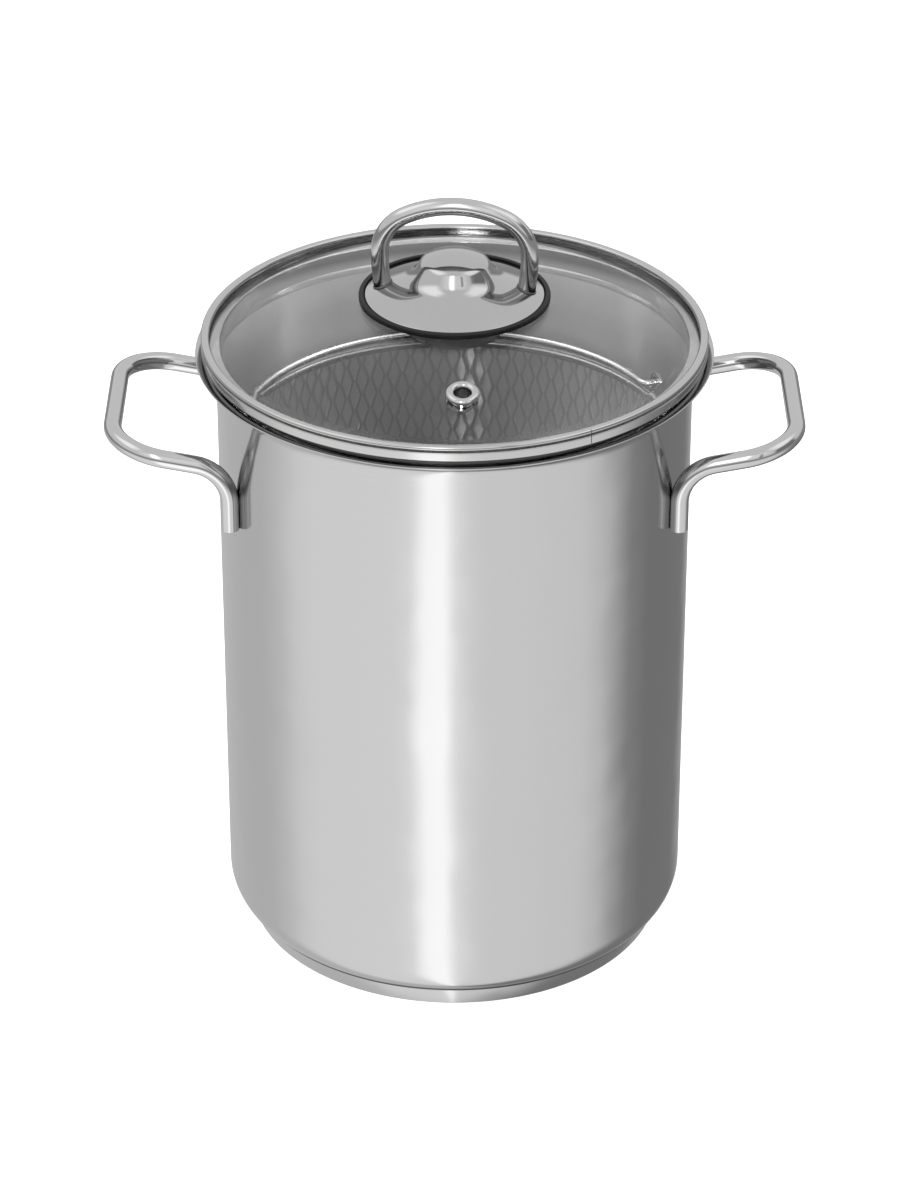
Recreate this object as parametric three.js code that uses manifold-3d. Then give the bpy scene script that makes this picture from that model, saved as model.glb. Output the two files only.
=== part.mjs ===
// Tall asparagus pot: steel pot on a sandwich base, expanded-metal basket with a bail, domed glass lid.
// Millimetres, +Z up, origin on the table under the pot's axis, handles along X.

import * as THREE from 'three';
import { mergeVertices } from 'three/addons/utils/BufferGeometryUtils.js';
import Module from 'manifold-3d';

const wasm = await Module();
wasm.setup();

// Clearances
const seatGap = 0.3; // between pieces that rest on, or are welded to, each other
const skirtGap = 0.6; // lid skirt to the inside of the pot wall
const basketGap = 5.3; // middle of the basket wall to the inside of the pot wall
const pivotGap = 0.3; // bail end in the hole of its lug

// Pot
const potRadius = 80.6; // outside of the wall
const potHeight = 217.8; // underside of the rim's edge above the table
const potWall = 0.8;
const cornerRadius = 12; // outside, between wall and floor
const flareRadius = 7; // outside, where the rim turns outwards
const flareTurn = 75; // degrees
const flareLip = 1.6; // straight edge beyond the bend

// Sandwich base
const coreThickness = 4.1;
const capThickness = 0.8;
const capFootRadius = 72.2; // flat underside that stands on the hob
const capFlare = 3.8; // from there out to the edge that meets the rounded corner
const capFootRound = 0.7;
const coreMargin = 1.6; // core edge inside the flat of the cap

// Side handles, one bent rod each
const rodDiameter = 6.2;
const handleSpread = 36; // half the distance between the two feet
const handleReach = 114.9; // middle of the grip bar from the pot's axis
const handleDrop = 38.8; // start of the foot bends below the rim's edge
const footLength = 10.6; // straight foot below its bend
const footSink = 0.5; // rod flattened against the wall
const footBend = 14;
const gripBend = 15;
const gripRise = 11; // degrees

// Basket of expanded metal
const basketDrop = 32.37; // top of the basket's rim below the edge of the pot's rim
const meshThickness = 1.2;
const meshStrand = 2.4;
const meshColumns = 22;
const meshRows = 7;
const rimSheet = 0.5;
const rimDepth = 3.6;
const ringSheet = 0.6;
const ringDepth = 5.6;
const ringFlange = 6.5; // carries the floor
const floorThickness = 1;
const floorBorder = 4; // unpierced edge of the floor
const basketTurn = 25; // degrees, bail pivot from the handle line

// Bail and its lugs
const bailDiameter = 2.8;
const bailRise = 2.9; // pivot above the basket's rim
const bailBend = 3;
const bailEnd = 0.8; // past the outside of the lug
const bailInset = 2; // hoop inside the middle of the basket wall
const lugThickness = 1.2;
const lugWidth = 7;
const lugTail = 3.4; // below the top of the basket's rim

// Glass lid with its steel band
const lidInset = 1.85; // band inside the edge of the pot's rim
const glassThickness = 3.4;
const glassFlat = 3.6; // level edge that the band holds
const domeRise = 15.8;
const bandSheet = 0.8;
const bandStand = 1.15; // flange above the pot's rim, which leaves a dark gap round the lid
const bandFlange = 0.4;
const bandCurl = 1; // rounded lower edge
const bandFoot = 1.2; // width of the ring that rests on the flare
const footInset = 2.3; // its outside from the outside of the band
const bandBead = 2.9; // width of the top bead
const beadHeight = 1.6;
const bandGroove = 0.45;
const skirtSheet = 0.6;
const skirtDepth = 4.8;

// Steam vent
const ventInset = 21.2; // from the edge of the dome
const ventTurn = -87.6; // degrees
const ventBore = 2.6;
const ventBarrel = 3.5;
const ventFlange = 5.6;
const ventBead = 1.8;

// Lid knob
const knobTurn = -4.7; // degrees
const gasketLip = 1.9; // width of the lip round the plate
const lipHeight = 1.1; // lip above the plate's edge
const gasketNeck = 0.45; // under the plate's edge
const gasketWidth = 7.6;
const plateRadius = 29.4;
const plateSheet = 0.8;
const plateSlope = 23; // degrees
const bossRadius = 15; // where the boss meets the plate
const bossSlope = 57; // degrees
const bossShoulder = 11.7; // where the boss meets its domed top
const bossCurve = 25; // radius of the domed top
const loopDiameter = 6;
const loopFoot = 23.8; // foot from the knob's axis
const loopWidth = 25.1; // widest half width
const loopWaist = 14.9; // height of the widest place above the plate's edge
const loopHeight = 32.2; // middle of the rod at the top
const loopSquareness = 0.62; // 0.55 is an ellipse

// Knob fastening
const screwDiameter = 5.4;
const screwHead = 6;
const screwHeadHeight = 2.8;
const nutWidth = 10; // across flats
const nutHeight = 5;
const sealRadius = 20.5;
const sealThickness = 2.4;
const cupRadius = 20.8;
const cupEdge = 3.2;
const cupBowl = 16.3;
const cupDepth = 7.8;
const cupSheet = 1;

// Facets
const largeSides = 36;
const smallSides = 22;
const rodSides = 8;
const wireSides = 6;
const eyeletSides = 16;

const polished = { color: 0xd2d3d4, roughness: 0.12, metalness: 1 };
const brushed = { color: 0xc4c5c6, roughness: 0.35, metalness: 1 };
const rawAluminium = { color: 0xbfc2c4, roughness: 0.45, metalness: 1 };
const clearGlass = { color: 0xdde2e2, roughness: 0.03, metalness: 0, transparent: true, opacity: 0.3 };
const silicone = { color: 0x1d1d1e, roughness: 0.55, metalness: 0 };

const radians = THREE.MathUtils.degToRad;
const point = (r, z) => new THREE.Vector2(r, z);

// How far the flats of a turned piece lie inside its corners
const flatness = (r, sides) => r * (1 - Math.cos(Math.PI / sides));

// Geometry helpers

// Merge shared corners, drop triangles without area and point the faces outwards.
function closed(geometry) {
  const bare = geometry.clone();
  bare.deleteAttribute('normal');
  bare.deleteAttribute('uv');
  const merged = mergeVertices(bare, 1e-4);
  const p = merged.attributes.position;
  const index = merged.index.array;
  const kept = [];
  let volume = 0;
  const a = new THREE.Vector3();
  const b = new THREE.Vector3();
  const c = new THREE.Vector3();
  for (let i = 0; i < index.length; i += 3) {
    const [i0, i1, i2] = [index[i], index[i + 1], index[i + 2]];
    if (i0 === i1 || i1 === i2 || i2 === i0) continue;
    a.fromBufferAttribute(p, i0);
    b.fromBufferAttribute(p, i1);
    c.fromBufferAttribute(p, i2);
    volume += a.dot(b.cross(c));
    kept.push(i0, i1, i2);
  }
  if (volume < 0) kept.reverse();
  merged.setIndex(kept);
  merged.computeVertexNormals();
  return merged;
}

function toManifold(geometry) {
  const g = closed(geometry);
  const vertProperties = new Float32Array(g.attributes.position.array);
  const triVerts = new Uint32Array(g.index.array);
  return new wasm.Manifold(new wasm.Mesh({ numProp: 3, vertProperties, triVerts }));
}

function fromManifold(solid) {
  const mesh = solid.getMesh();
  const g = new THREE.BufferGeometry();
  g.setAttribute('position', new THREE.BufferAttribute(new Float32Array(mesh.vertProperties), 3));
  g.setIndex([...mesh.triVerts]);
  g.computeVertexNormals();
  return g;
}

function cut(body, ...tools) {
  let solid = toManifold(body);
  for (const tool of tools) solid = solid.subtract(toManifold(tool));
  return fromManifold(solid);
}

// Turn a profile of (radius, height) points about Z. A profile off the axis closes on itself.
function lathe(profile, sides) {
  const points = [...profile];
  const first = points[0];
  const last = points[points.length - 1];
  if (first.x > 0 || last.x > 0) points.push(first.clone());
  const g = new THREE.LatheGeometry(points, sides);
  g.rotateX(Math.PI / 2);
  return closed(g);
}

// Points on a circular arc in the profile, angles in degrees.
function arc(r, z, radius, from, to, steps) {
  return Array.from({ length: steps + 1 }, (_, i) => {
    const angle = radians(from + ((to - from) * i) / steps);
    return point(r + radius * Math.cos(angle), z + radius * Math.sin(angle));
  });
}

function rodSection(diameter, sides) {
  const shape = new THREE.Shape();
  for (let i = 0; i < sides; i += 1) {
    const angle = (2 * Math.PI * (i + 0.5)) / sides;
    const x = (diameter / 2) * Math.cos(angle);
    const y = (diameter / 2) * Math.sin(angle);
    if (i === 0) shape.moveTo(x, y);
    else shape.lineTo(x, y);
  }
  shape.closePath();
  return shape;
}

// Circular bend from a point, starting along one direction and ending along another.
class Bend extends THREE.Curve {
  constructor(start, along, towards, radius, turn = Math.PI / 2) {
    super();
    Object.assign(this, { start, along, towards, radius, turn });
  }

  getPoint(t, target = new THREE.Vector3()) {
    const angle = this.turn * t;
    return target
      .copy(this.start)
      .addScaledVector(this.along, this.radius * Math.sin(angle))
      .addScaledVector(this.towards, this.radius * (1 - Math.cos(angle)));
  }
}

// A curve through given points that puts one section of a swept rod at each of them.
class Trace extends THREE.Curve {
  constructor(points) {
    super();
    this.points = points;
  }

  stop(t) {
    return Math.round(t * (this.points.length - 1));
  }

  getPointAt(t) {
    return this.points[this.stop(t)].clone();
  }

  getTangentAt(t) {
    const i = this.stop(t);
    const before = this.points[Math.max(0, i - 1)];
    const after = this.points[Math.min(this.points.length - 1, i + 1)];
    return after.clone().sub(before).normalize();
  }
}

// Round rod through the given points.
function rod(points, diameter, sides) {
  const options = { extrudePath: new Trace(points), steps: points.length - 1 };
  return closed(new THREE.ExtrudeGeometry(rodSection(diameter, sides), options));
}

const vec = (x, y, z) => new THREE.Vector3(x, y, z);
const line = (a, b) => new THREE.LineCurve3(a, b);

const asparagusPot = new THREE.Group();

function add(name, geometry, finish, parent = asparagusPot) {
  const mesh = new THREE.Mesh(geometry, new THREE.MeshStandardMaterial(finish));
  mesh.name = name;
  parent.add(mesh);
  return mesh;
}

// Pot body: floor, rounded corner, straight wall and flared pouring rim
const potInner = potRadius - potWall;
const floorZ = capThickness + seatGap + coreThickness + seatGap;
const cornerZ = floorZ + cornerRadius;
const cornerR = potRadius - cornerRadius;
const flareR = potRadius + flareRadius;
const flareEnd = 180 - flareTurn;
const lipAngle = radians(90 - flareTurn);
const flareZ = potHeight - flareRadius * Math.sin(radians(flareTurn)) - flareLip * Math.sin(lipAngle);
const lipRun = point(flareLip * Math.cos(lipAngle), flareLip * Math.sin(lipAngle));
const rimRadius = flareR - flareRadius * Math.cos(radians(flareTurn)) + lipRun.x;

function potBody() {
  const outerFlare = arc(flareR, flareZ, flareRadius, 180, flareEnd, 3);
  const innerFlare = arc(flareR, flareZ, flareRadius + potWall, flareEnd, 180, 3);
  return lathe(
    [
      point(0, floorZ),
      ...arc(cornerR, cornerZ, cornerRadius, 270, 360, 4),
      ...outerFlare,
      outerFlare.at(-1).clone().add(lipRun),
      innerFlare[0].clone().add(lipRun),
      ...innerFlare,
      ...arc(cornerR, cornerZ, cornerRadius - potWall, 360, 270, 4),
      point(0, floorZ + potWall),
    ],
    largeSides,
  );
}
add('pot_body', potBody(), polished);

// Outside and inside of the rounded corner, and top of the flare, as heights over a radius
const cornerHeight = (r, radius) =>
  cornerZ - Math.sqrt(radius ** 2 - Math.max(0, Math.min(r - cornerR, radius)) ** 2);
const cornerOutside = (r) => cornerHeight(r, cornerRadius);
const cornerInside = (r) => cornerHeight(r, cornerRadius - potWall);

function flareTop(r) {
  const radius = flareRadius + potWall;
  const end = flareR - radius * Math.cos(radians(flareTurn));
  const onArc = Math.min(r, end);
  const z = flareZ + Math.sqrt(radius ** 2 - (flareR - onArc) ** 2);
  return z + Math.max(0, r - end) * Math.tan(lipAngle);
}

// Sandwich base: aluminium core between the pot's floor and a steel cap
function baseCap() {
  const capRadius = capFootRadius + capFlare;
  const capIn = capRadius - capThickness;
  return lathe(
    [
      point(0, 0),
      point(capFootRadius, 0),
      point(capFootRadius + capFootRound, capFootRound),
      point(capRadius, cornerOutside(capRadius) - seatGap),
      point(capIn, cornerOutside(capIn) - seatGap),
      point(capFootRadius, capThickness + capFootRound),
      point(capFootRadius - capFootRound, capThickness),
      point(0, capThickness),
    ],
    largeSides,
  );
}
add('base_cap', baseCap(), polished);

function baseCore() {
  const core = new THREE.CylinderGeometry(
    capFootRadius - coreMargin,
    capFootRadius - coreMargin,
    coreThickness,
    largeSides,
  );
  core.rotateX(Math.PI / 2);
  core.translate(0, 0, capThickness + seatGap + coreThickness / 2);
  return closed(core);
}
add('base_core', baseCore(), rawAluminium);

// Side handles: vertical feet on the wall, a bend outwards and a rounded loop that rises a little
function handle() {
  const footRadius = potRadius + seatGap + rodDiameter / 2 - footSink;
  const footX = Math.sqrt(footRadius ** 2 - handleSpread ** 2);
  const bendZ = potHeight - handleDrop;
  const rise = radians(gripRise);
  const out = vec(Math.cos(rise), 0, Math.sin(rise));
  const up = vec(0, 0, 1);
  const side = vec(0, 1, 0);
  const footEnd = vec(footX, -handleSpread, bendZ - footLength);
  const footTop = vec(footX, -handleSpread, bendZ);
  const lean = new Bend(footTop, up, vec(1, 0, 0), footBend, Math.PI / 2 - rise);
  const armStart = lean.getPoint(1);
  const armLength = (handleReach - armStart.x) / out.x - gripBend;
  const armEnd = armStart.clone().addScaledVector(out, armLength);
  const corner = new Bend(armEnd, out, side, gripBend);
  const gripStart = corner.getPoint(1);
  const half = [line(footEnd, footTop), lean, line(armStart, armEnd), corner];
  const steps = [1, 4, 1, 4];
  const halfPoints = half.flatMap((curve, i) => curve.getPoints(steps[i]).slice(i ? 1 : 0));
  const gripMiddle = vec(gripStart.x, 0, gripStart.z);
  const mirrored = halfPoints.map((p) => vec(p.x, -p.y, p.z)).reverse();
  const bent = rod([...halfPoints, gripMiddle, ...mirrored], rodDiameter, rodSides);
  const wallTool = lathe(
    [
      point(0, footEnd.z - rodDiameter),
      point(potRadius + seatGap, footEnd.z - rodDiameter),
      point(potRadius + seatGap, potHeight),
      point(0, potHeight),
    ],
    largeSides,
  );
  return cut(bent, wallTool);
}

add('right_handle', handle(), polished);
add('left_handle', handle(), polished).rotation.z = Math.PI;

// Basket: expanded metal between a folded rim and a bottom ring, turned in the pot
const basket = new THREE.Group();
basket.rotation.z = radians(basketTurn);
asparagusPot.add(basket);

const basketRadius = potInner - basketGap;
const meshIn = basketRadius - meshThickness / 2;
const meshOut = basketRadius + meshThickness / 2;
const meshGap = seatGap + flatness(basketRadius, largeSides);
const rimIn = meshIn - meshGap - rimSheet;
const rimOut = meshOut + meshGap + rimSheet;
const ringOut = meshOut + meshGap + ringSheet;
const ringZ = cornerInside(ringOut + flatness(ringOut, largeSides)) + seatGap;
const rimZ = potHeight - basketDrop;
const meshLow = ringZ + ringSheet + seatGap;
const meshTop = rimZ - rimSheet - seatGap;
const meshStep = Math.PI / meshColumns; // half a diamond round the wall
const halfWidth = meshStep * basketRadius;
const halfHeight = (meshTop - meshLow) / (meshRows + 1);
const opening = 1 - ((meshStrand / 2) * Math.hypot(halfWidth, halfHeight)) / (halfWidth * halfHeight);

// The wall is tiled by diamonds. Each has a smaller diamond opening, and plain triangles close the edges.
function meshWall() {
  const positions = [];
  const place = (u, v, r) => {
    const angle = u * meshStep;
    return [r * Math.cos(angle), r * Math.sin(angle), meshLow + v * halfHeight];
  };
  const triangle = (a, b, c) => positions.push(...a, ...b, ...c);
  const quad = (a, b, c, d) => {
    triangle(a, b, c);
    triangle(a, c, d);
  };
  const corners = [[1, 0], [0, 1], [-1, 0], [0, -1]];
  for (let v = 1; v <= meshRows; v += 1) {
    for (let u = v % 2; u < 2 * meshColumns; u += 2) {
      for (let k = 0; k < corners.length; k += 1) {
        const [au, av] = corners[k];
        const [bu, bv] = corners[(k + 1) % corners.length];
        const tile = (r) => [place(u + au, v + av, r), place(u + bu, v + bv, r)];
        const hole = (r) => [
          place(u + opening * au, v + opening * av, r),
          place(u + opening * bu, v + opening * bv, r),
        ];
        const [tileA, tileB] = tile(meshOut);
        const [holeA, holeB] = hole(meshOut);
        const [backTileA, backTileB] = tile(meshIn);
        const [backHoleA, backHoleB] = hole(meshIn);
        quad(holeA, tileA, tileB, holeB);
        quad(backHoleB, backTileB, backTileA, backHoleA);
        quad(holeB, backHoleB, backHoleA, holeA);
      }
    }
  }
  for (const [edge, inward] of [[0, 1], [meshRows + 1, -1]]) {
    for (let u = edge % 2; u < 2 * meshColumns; u += 2) {
      for (const from of [u - 1, u]) {
        const ends = inward > 0 ? [from, from + 1] : [from + 1, from];
        const web = (r) => [place(ends[0], edge, r), place(ends[1], edge, r), place(u, edge + inward, r)];
        const [a, b, c] = web(meshOut);
        const [d, e, f] = web(meshIn);
        triangle(a, b, c);
        triangle(f, e, d);
        quad(d, e, b, a);
      }
    }
  }
  const g = new THREE.BufferGeometry();
  g.setAttribute('position', new THREE.Float32BufferAttribute(positions, 3));
  return closed(g);
}
add('basket_wall', meshWall(), brushed, basket);

// Folded rim: a U of sheet over the top edge of the wall
function basketRim() {
  const fold = (rimOut - rimIn) / 4;
  return lathe(
    [
      point(rimIn, rimZ - rimDepth),
      point(rimIn, rimZ - fold),
      point(rimIn + fold, rimZ),
      point(rimOut - fold, rimZ),
      point(rimOut, rimZ - fold),
      point(rimOut, rimZ - rimDepth),
      point(rimOut - rimSheet, rimZ - rimDepth),
      point(rimOut - rimSheet, rimZ - rimSheet),
      point(rimIn + rimSheet, rimZ - rimSheet),
      point(rimIn + rimSheet, rimZ - rimDepth),
    ],
    largeSides,
  );
}
add('basket_rim', basketRim(), polished, basket);

// Bottom ring: an angle that holds the wall's lower edge and carries the floor
function basketRing() {
  return lathe(
    [
      point(meshIn - ringFlange, ringZ),
      point(ringOut, ringZ),
      point(ringOut, ringZ + ringDepth),
      point(ringOut - ringSheet, ringZ + ringDepth),
      point(ringOut - ringSheet, ringZ + ringSheet),
      point(meshIn - ringFlange, ringZ + ringSheet),
    ],
    largeSides,
  );
}
add('basket_bottom_ring', basketRing(), polished, basket);

// Floor: a disc pierced by the same diamonds as the wall
function basketFloor() {
  const radius = meshIn - meshGap;
  const low = ringZ + ringSheet + seatGap;
  const disc = lathe(
    [point(0, low), point(radius, low), point(radius, low + floorThickness), point(0, low + floorThickness)],
    largeSides,
  );
  const holeWidth = opening * halfWidth;
  const holeHeight = opening * halfHeight;
  const diamond = new THREE.Shape([
    point(holeWidth, 0),
    point(0, holeHeight),
    point(-holeWidth, 0),
    point(0, -holeHeight),
  ]);
  const clear = radius - floorBorder;
  const across = Math.ceil(radius / halfWidth);
  const along = Math.ceil(radius / halfHeight);
  const tools = [];
  for (let v = -along; v <= along; v += 1) {
    for (let u = -across; u <= across; u += 1) {
      if ((u + v) % 2) continue;
      const x = Math.abs(u * halfWidth);
      const y = Math.abs(v * halfHeight);
      const inside = Math.hypot(x + holeWidth, y) < clear && Math.hypot(x, y + holeHeight) < clear;
      if (!inside) continue;
      const tool = new THREE.ExtrudeGeometry(diamond, { depth: 3 * floorThickness, bevelEnabled: false });
      tool.translate(u * halfWidth, v * halfHeight, low - floorThickness);
      tools.push(tool);
    }
  }
  return cut(disc, ...tools);
}
add('basket_floor', basketFloor(), brushed, basket);

// Bail lugs: tabs welded outside the rim, each with the hole that a bail end turns in
const bailZ = rimZ + bailRise;
const lugIn = rimOut + seatGap;

function bailLug() {
  const tab = new THREE.Shape();
  const half = lugWidth / 2;
  tab.moveTo(-half, -bailRise - lugTail);
  tab.lineTo(half, -bailRise - lugTail);
  tab.lineTo(half, 0);
  tab.absarc(0, 0, half, 0, Math.PI, false);
  tab.closePath();
  const hole = new THREE.Path();
  hole.absarc(0, 0, bailDiameter / 2 + pivotGap, 0, 2 * Math.PI, true);
  tab.holes.push(hole);
  const g = new THREE.ExtrudeGeometry(tab, { depth: lugThickness, bevelEnabled: false, curveSegments: 8 });
  g.applyMatrix4(new THREE.Matrix4().makeBasis(vec(0, 1, 0), vec(0, 0, 1), vec(1, 0, 0)));
  g.translate(lugIn, 0, bailZ);
  return closed(g);
}
add('bail_lug_right', bailLug(), polished, basket);
add('bail_lug_left', bailLug(), polished, basket).rotation.z = Math.PI;

// Bail: half a hoop of wire folded down over the rim, its ends hooked outwards through the lugs
function bail() {
  const hoop = basketRadius - bailInset;
  const tip = vec(lugIn + lugThickness + bailEnd, 0, bailZ);
  const hook = new Bend(vec(hoop + bailBend, 0, bailZ), vec(-1, 0, 0), vec(0, 1, 0), bailBend);
  const start = [tip, ...hook.getPoints(4)];
  const lead = Math.asin(bailBend / hoop);
  const turns = 26;
  const wire = [];
  for (let i = 1; i < turns; i += 1) {
    const angle = lead + ((Math.PI - 2 * lead) * i) / turns;
    wire.push(vec(hoop * Math.cos(angle), hoop * Math.sin(angle), bailZ));
  }
  const end = start.map((p) => vec(-p.x, p.y, p.z)).reverse();
  return rod([...start, ...wire, ...end], bailDiameter, wireSides);
}
add('bail', bail(), polished, basket);

// Lid: the band sits inside the flared rim and holds the level edge of the glass
const bandRadius = rimRadius - lidInset;
const lidZ = flareTop(bandRadius) + seatGap;
const glassLow = lidZ + bandStand + seatGap;
const glassTop = glassLow + glassThickness;
const glassRadius = bandRadius - bandSheet - seatGap;
const domeRadius = glassRadius - glassFlat;
const domeCurve = (domeRadius ** 2 + domeRise ** 2) / (2 * domeRise);
const domeTop = (r) => glassTop + domeRise - domeCurve + Math.sqrt(domeCurve ** 2 - r ** 2);
const domeUnder = (r) => domeTop(r) - glassThickness;
const screwHole = screwDiameter / 2 + 2 * seatGap;
const ventRadius = domeRadius - ventInset;

const vent = new THREE.Group();
const ventAngle = radians(ventTurn);
vent.position.set(ventRadius * Math.cos(ventAngle), ventRadius * Math.sin(ventAngle), domeTop(ventRadius));
vent.rotation.set(0, Math.asin(ventRadius / domeCurve), ventAngle, 'ZYX');
vent.updateMatrix();

function lidGlass() {
  const steps = 4;
  const step = (domeRadius - screwHole) / steps;
  const radii = Array.from({ length: steps + 1 }, (_, i) => screwHole + i * step);
  const blank = lathe(
    [
      ...radii.map((r) => point(r, domeTop(r))),
      point(glassRadius, glassTop),
      point(glassRadius, glassLow),
      ...radii.reverse().map((r) => point(r, domeUnder(r))),
    ],
    largeSides,
  );
  const depth = 4 * glassThickness;
  const hole = new THREE.CylinderGeometry(ventBarrel + seatGap, ventBarrel + seatGap, depth, eyeletSides);
  hole.rotateX(Math.PI / 2);
  hole.applyMatrix4(vent.matrix);
  return cut(blank, hole);
}
add('lid_glass', lidGlass(), clearGlass);

// Steel band: top bead, groove, outer wall, flange under the glass, foot on the flare and centring skirt
function lidBand() {
  const b = bandRadius;
  const cavityTop = glassTop + seatGap;
  const crest = cavityTop + beadHeight;
  const flangeTop = glassLow - seatGap;
  const flangeLow = flangeTop - bandFlange;
  const footOut = b - footInset;
  const footIn = footOut - bandFoot;
  const footZ = flareTop(footOut) + seatGap;
  const skirtOut = potInner - skirtGap;
  const skirtIn = skirtOut - skirtSheet;
  const soft = bandBead / 5;
  return lathe(
    [
      point(footIn, footZ),
      point(footOut, footZ),
      point(footOut, flangeLow),
      point(b - bandCurl, flangeLow),
      point(b, flangeLow + bandCurl),
      point(b, cavityTop - bandGroove),
      point(b - bandGroove, cavityTop),
      point(b, cavityTop + bandGroove),
      point(b - soft, crest - bandGroove / 2),
      point(b - bandBead / 2, crest),
      point(b - bandBead, crest - bandGroove),
      point(b - bandBead, cavityTop),
      point(b - bandSheet, cavityTop),
      point(b - bandSheet, flangeTop),
      point(skirtIn, flangeTop),
      point(skirtIn, lidZ - skirtDepth),
      point(skirtOut, lidZ - skirtDepth),
      point(skirtOut, flangeLow),
      point(footIn, flangeLow),
    ],
    largeSides,
  );
}
add('lid_band', lidBand(), polished);

// Steam vent: a rolled eyelet through the glass, square to the dome
function ventEyelet() {
  const top = seatGap;
  const under = -glassThickness - seatGap;
  return lathe(
    [
      point(ventBore, top + ventBead / 2),
      point((ventBore + ventBarrel) / 2, top + ventBead),
      point((ventBarrel + ventFlange) / 2, top + ventBead),
      point(ventFlange, top + ventBead / 2),
      point(ventFlange - ventBead / 4, top),
      point(ventBarrel, top),
      point(ventBarrel, under),
      point(ventFlange - ventBead / 4, under),
      point(ventFlange - ventBead / 4, under - ventBead / 2),
      point(ventBore, under - ventBead / 2),
    ],
    eyeletSides,
  );
}
asparagusPot.add(vent);
add('vent_eyelet', ventEyelet(), polished, vent);

// Knob plate: pressed sheet, a shallow cone that rises to a steeper boss with a domed top
const plateZ = domeTop(plateRadius) + seatGap + gasketNeck + seatGap;
const plateRise = Math.tan(radians(plateSlope));
const plateTop = (r) => plateZ + plateSheet + (plateRadius - r) * plateRise;
const shoulderZ = plateTop(bossRadius) + (bossRadius - bossShoulder) * Math.tan(radians(bossSlope));
const bossZ = shoulderZ - Math.sqrt(bossCurve ** 2 - bossShoulder ** 2);

// The same profile moved square to itself, inwards for a positive distance.
function inset(profile, distance) {
  return profile.map((p, i) => {
    const before = profile[Math.max(0, i - 1)];
    const after = profile[Math.min(profile.length - 1, i + 1)];
    const run = after.clone().sub(before).normalize();
    const r = i === 0 ? 0 : p.x + distance * run.y;
    return point(r, p.y - distance * (i === 0 ? 1 : run.x));
  });
}

const domeEdge = THREE.MathUtils.radToDeg(Math.acos(bossShoulder / bossCurve));
const plateOutside = [
  ...arc(0, bossZ, bossCurve, 90, domeEdge, 3),
  point(bossRadius, plateTop(bossRadius)),
  point(plateRadius, plateTop(plateRadius)),
];
const plateInside = inset(plateOutside, plateSheet);

function knobPlate() {
  return lathe([...plateOutside, ...plateInside.toReversed()], smallSides);
}
add('knob_plate', knobPlate(), polished);

// Knob gasket: a black ring under the plate, with a lip round the plate's edge
function knobGasket() {
  const lipIn = plateRadius + seatGap;
  const lipOut = lipIn + gasketLip;
  const lipTop = plateTop(plateRadius) + lipHeight;
  const gasketIn = lipOut - gasketWidth;
  const soft = gasketLip / 4;
  const under = inset(plateOutside, plateSheet + seatGap).at(-1);
  return lathe(
    [
      point(gasketIn, domeTop(gasketIn) + seatGap),
      point(lipOut - soft, domeTop(lipOut - soft) + seatGap),
      point(lipOut, domeTop(lipOut) + seatGap + soft),
      point(lipOut, lipTop - soft),
      point(lipOut - soft, lipTop),
      point(lipIn, lipTop),
      point(lipIn, plateZ - seatGap),
      point(under.x, plateZ - seatGap),
      point(gasketIn, under.y + (under.x - gasketIn) * plateRise),
    ],
    smallSides,
  );
}
add('knob_gasket', knobGasket(), silicone);

// Knob loop: a bent rod, its feet cut to the plate and welded there
function knobLoop() {
  const waistZ = plateZ + loopWaist;
  const topZ = plateZ + loopHeight;
  const low = vec(loopFoot, 0, plateZ);
  const waist = vec(loopWidth, 0, waistZ);
  const top = vec(0, 0, topZ);
  const legLead = vec(loopWidth, 0, plateZ + loopWaist / 2);
  const leg = new THREE.QuadraticBezierCurve3(low, legLead, waist);
  const shoulder = new THREE.CubicBezierCurve3(
    waist,
    vec(loopWidth, 0, waistZ + loopSquareness * (topZ - waistZ)),
    vec(loopSquareness * loopWidth, 0, topZ),
    top,
  );
  const half = [...leg.getPoints(3), ...shoulder.getPoints(8).slice(1)];
  const mirrored = half.slice(0, -1).reverse().map((p) => vec(-p.x, p.y, p.z));
  const rodLoop = rod([...half, ...mirrored], loopDiameter, rodSides);
  const raised = inset(plateOutside, -seatGap);
  const clear = plateRadius + loopDiameter;
  const under = plateZ - loopDiameter;
  const sides = [point(clear, raised.at(-1).y), point(clear, under), point(0, under)];
  const tool = lathe([...raised, ...sides], smallSides);
  tool.rotateZ(radians(-knobTurn));
  return cut(rodLoop, tool);
}
add('knob_loop', knobLoop(), polished).rotation.z = radians(knobTurn);

// Knob fastening: nut welded in the boss, screw from below, seal and cup washer under the glass
const nutCorner = nutWidth / 2 / Math.cos(Math.PI / 6);
const nutTop = bossZ + Math.sqrt((bossCurve - plateSheet) ** 2 - nutCorner ** 2) - seatGap;

function knobNut() {
  const hexagon = rodSection(2 * nutCorner, 6);
  const bore = new THREE.Path();
  bore.absarc(0, 0, screwDiameter / 2 + seatGap, 0, 2 * Math.PI, true);
  hexagon.holes.push(bore);
  const g = new THREE.ExtrudeGeometry(hexagon, { depth: nutHeight, bevelEnabled: false, curveSegments: 8 });
  g.translate(0, 0, nutTop - nutHeight);
  return closed(g);
}
add('knob_nut', knobNut(), brushed);

const sealLow = domeUnder(sealRadius) - seatGap - sealThickness;

function sealWasher() {
  return lathe(
    [
      point(screwHole, sealLow),
      point(sealRadius, sealLow),
      point(sealRadius, sealLow + sealThickness),
      point((sealRadius + screwHole) / 2, domeUnder((sealRadius + screwHole) / 2) - seatGap),
      point(screwHole, domeUnder(screwHole) - seatGap),
    ],
    smallSides,
  );
}
add('seal_washer', sealWasher(), silicone);

const cupTop = sealLow - seatGap;
const cupLow = cupTop - cupDepth;

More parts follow.
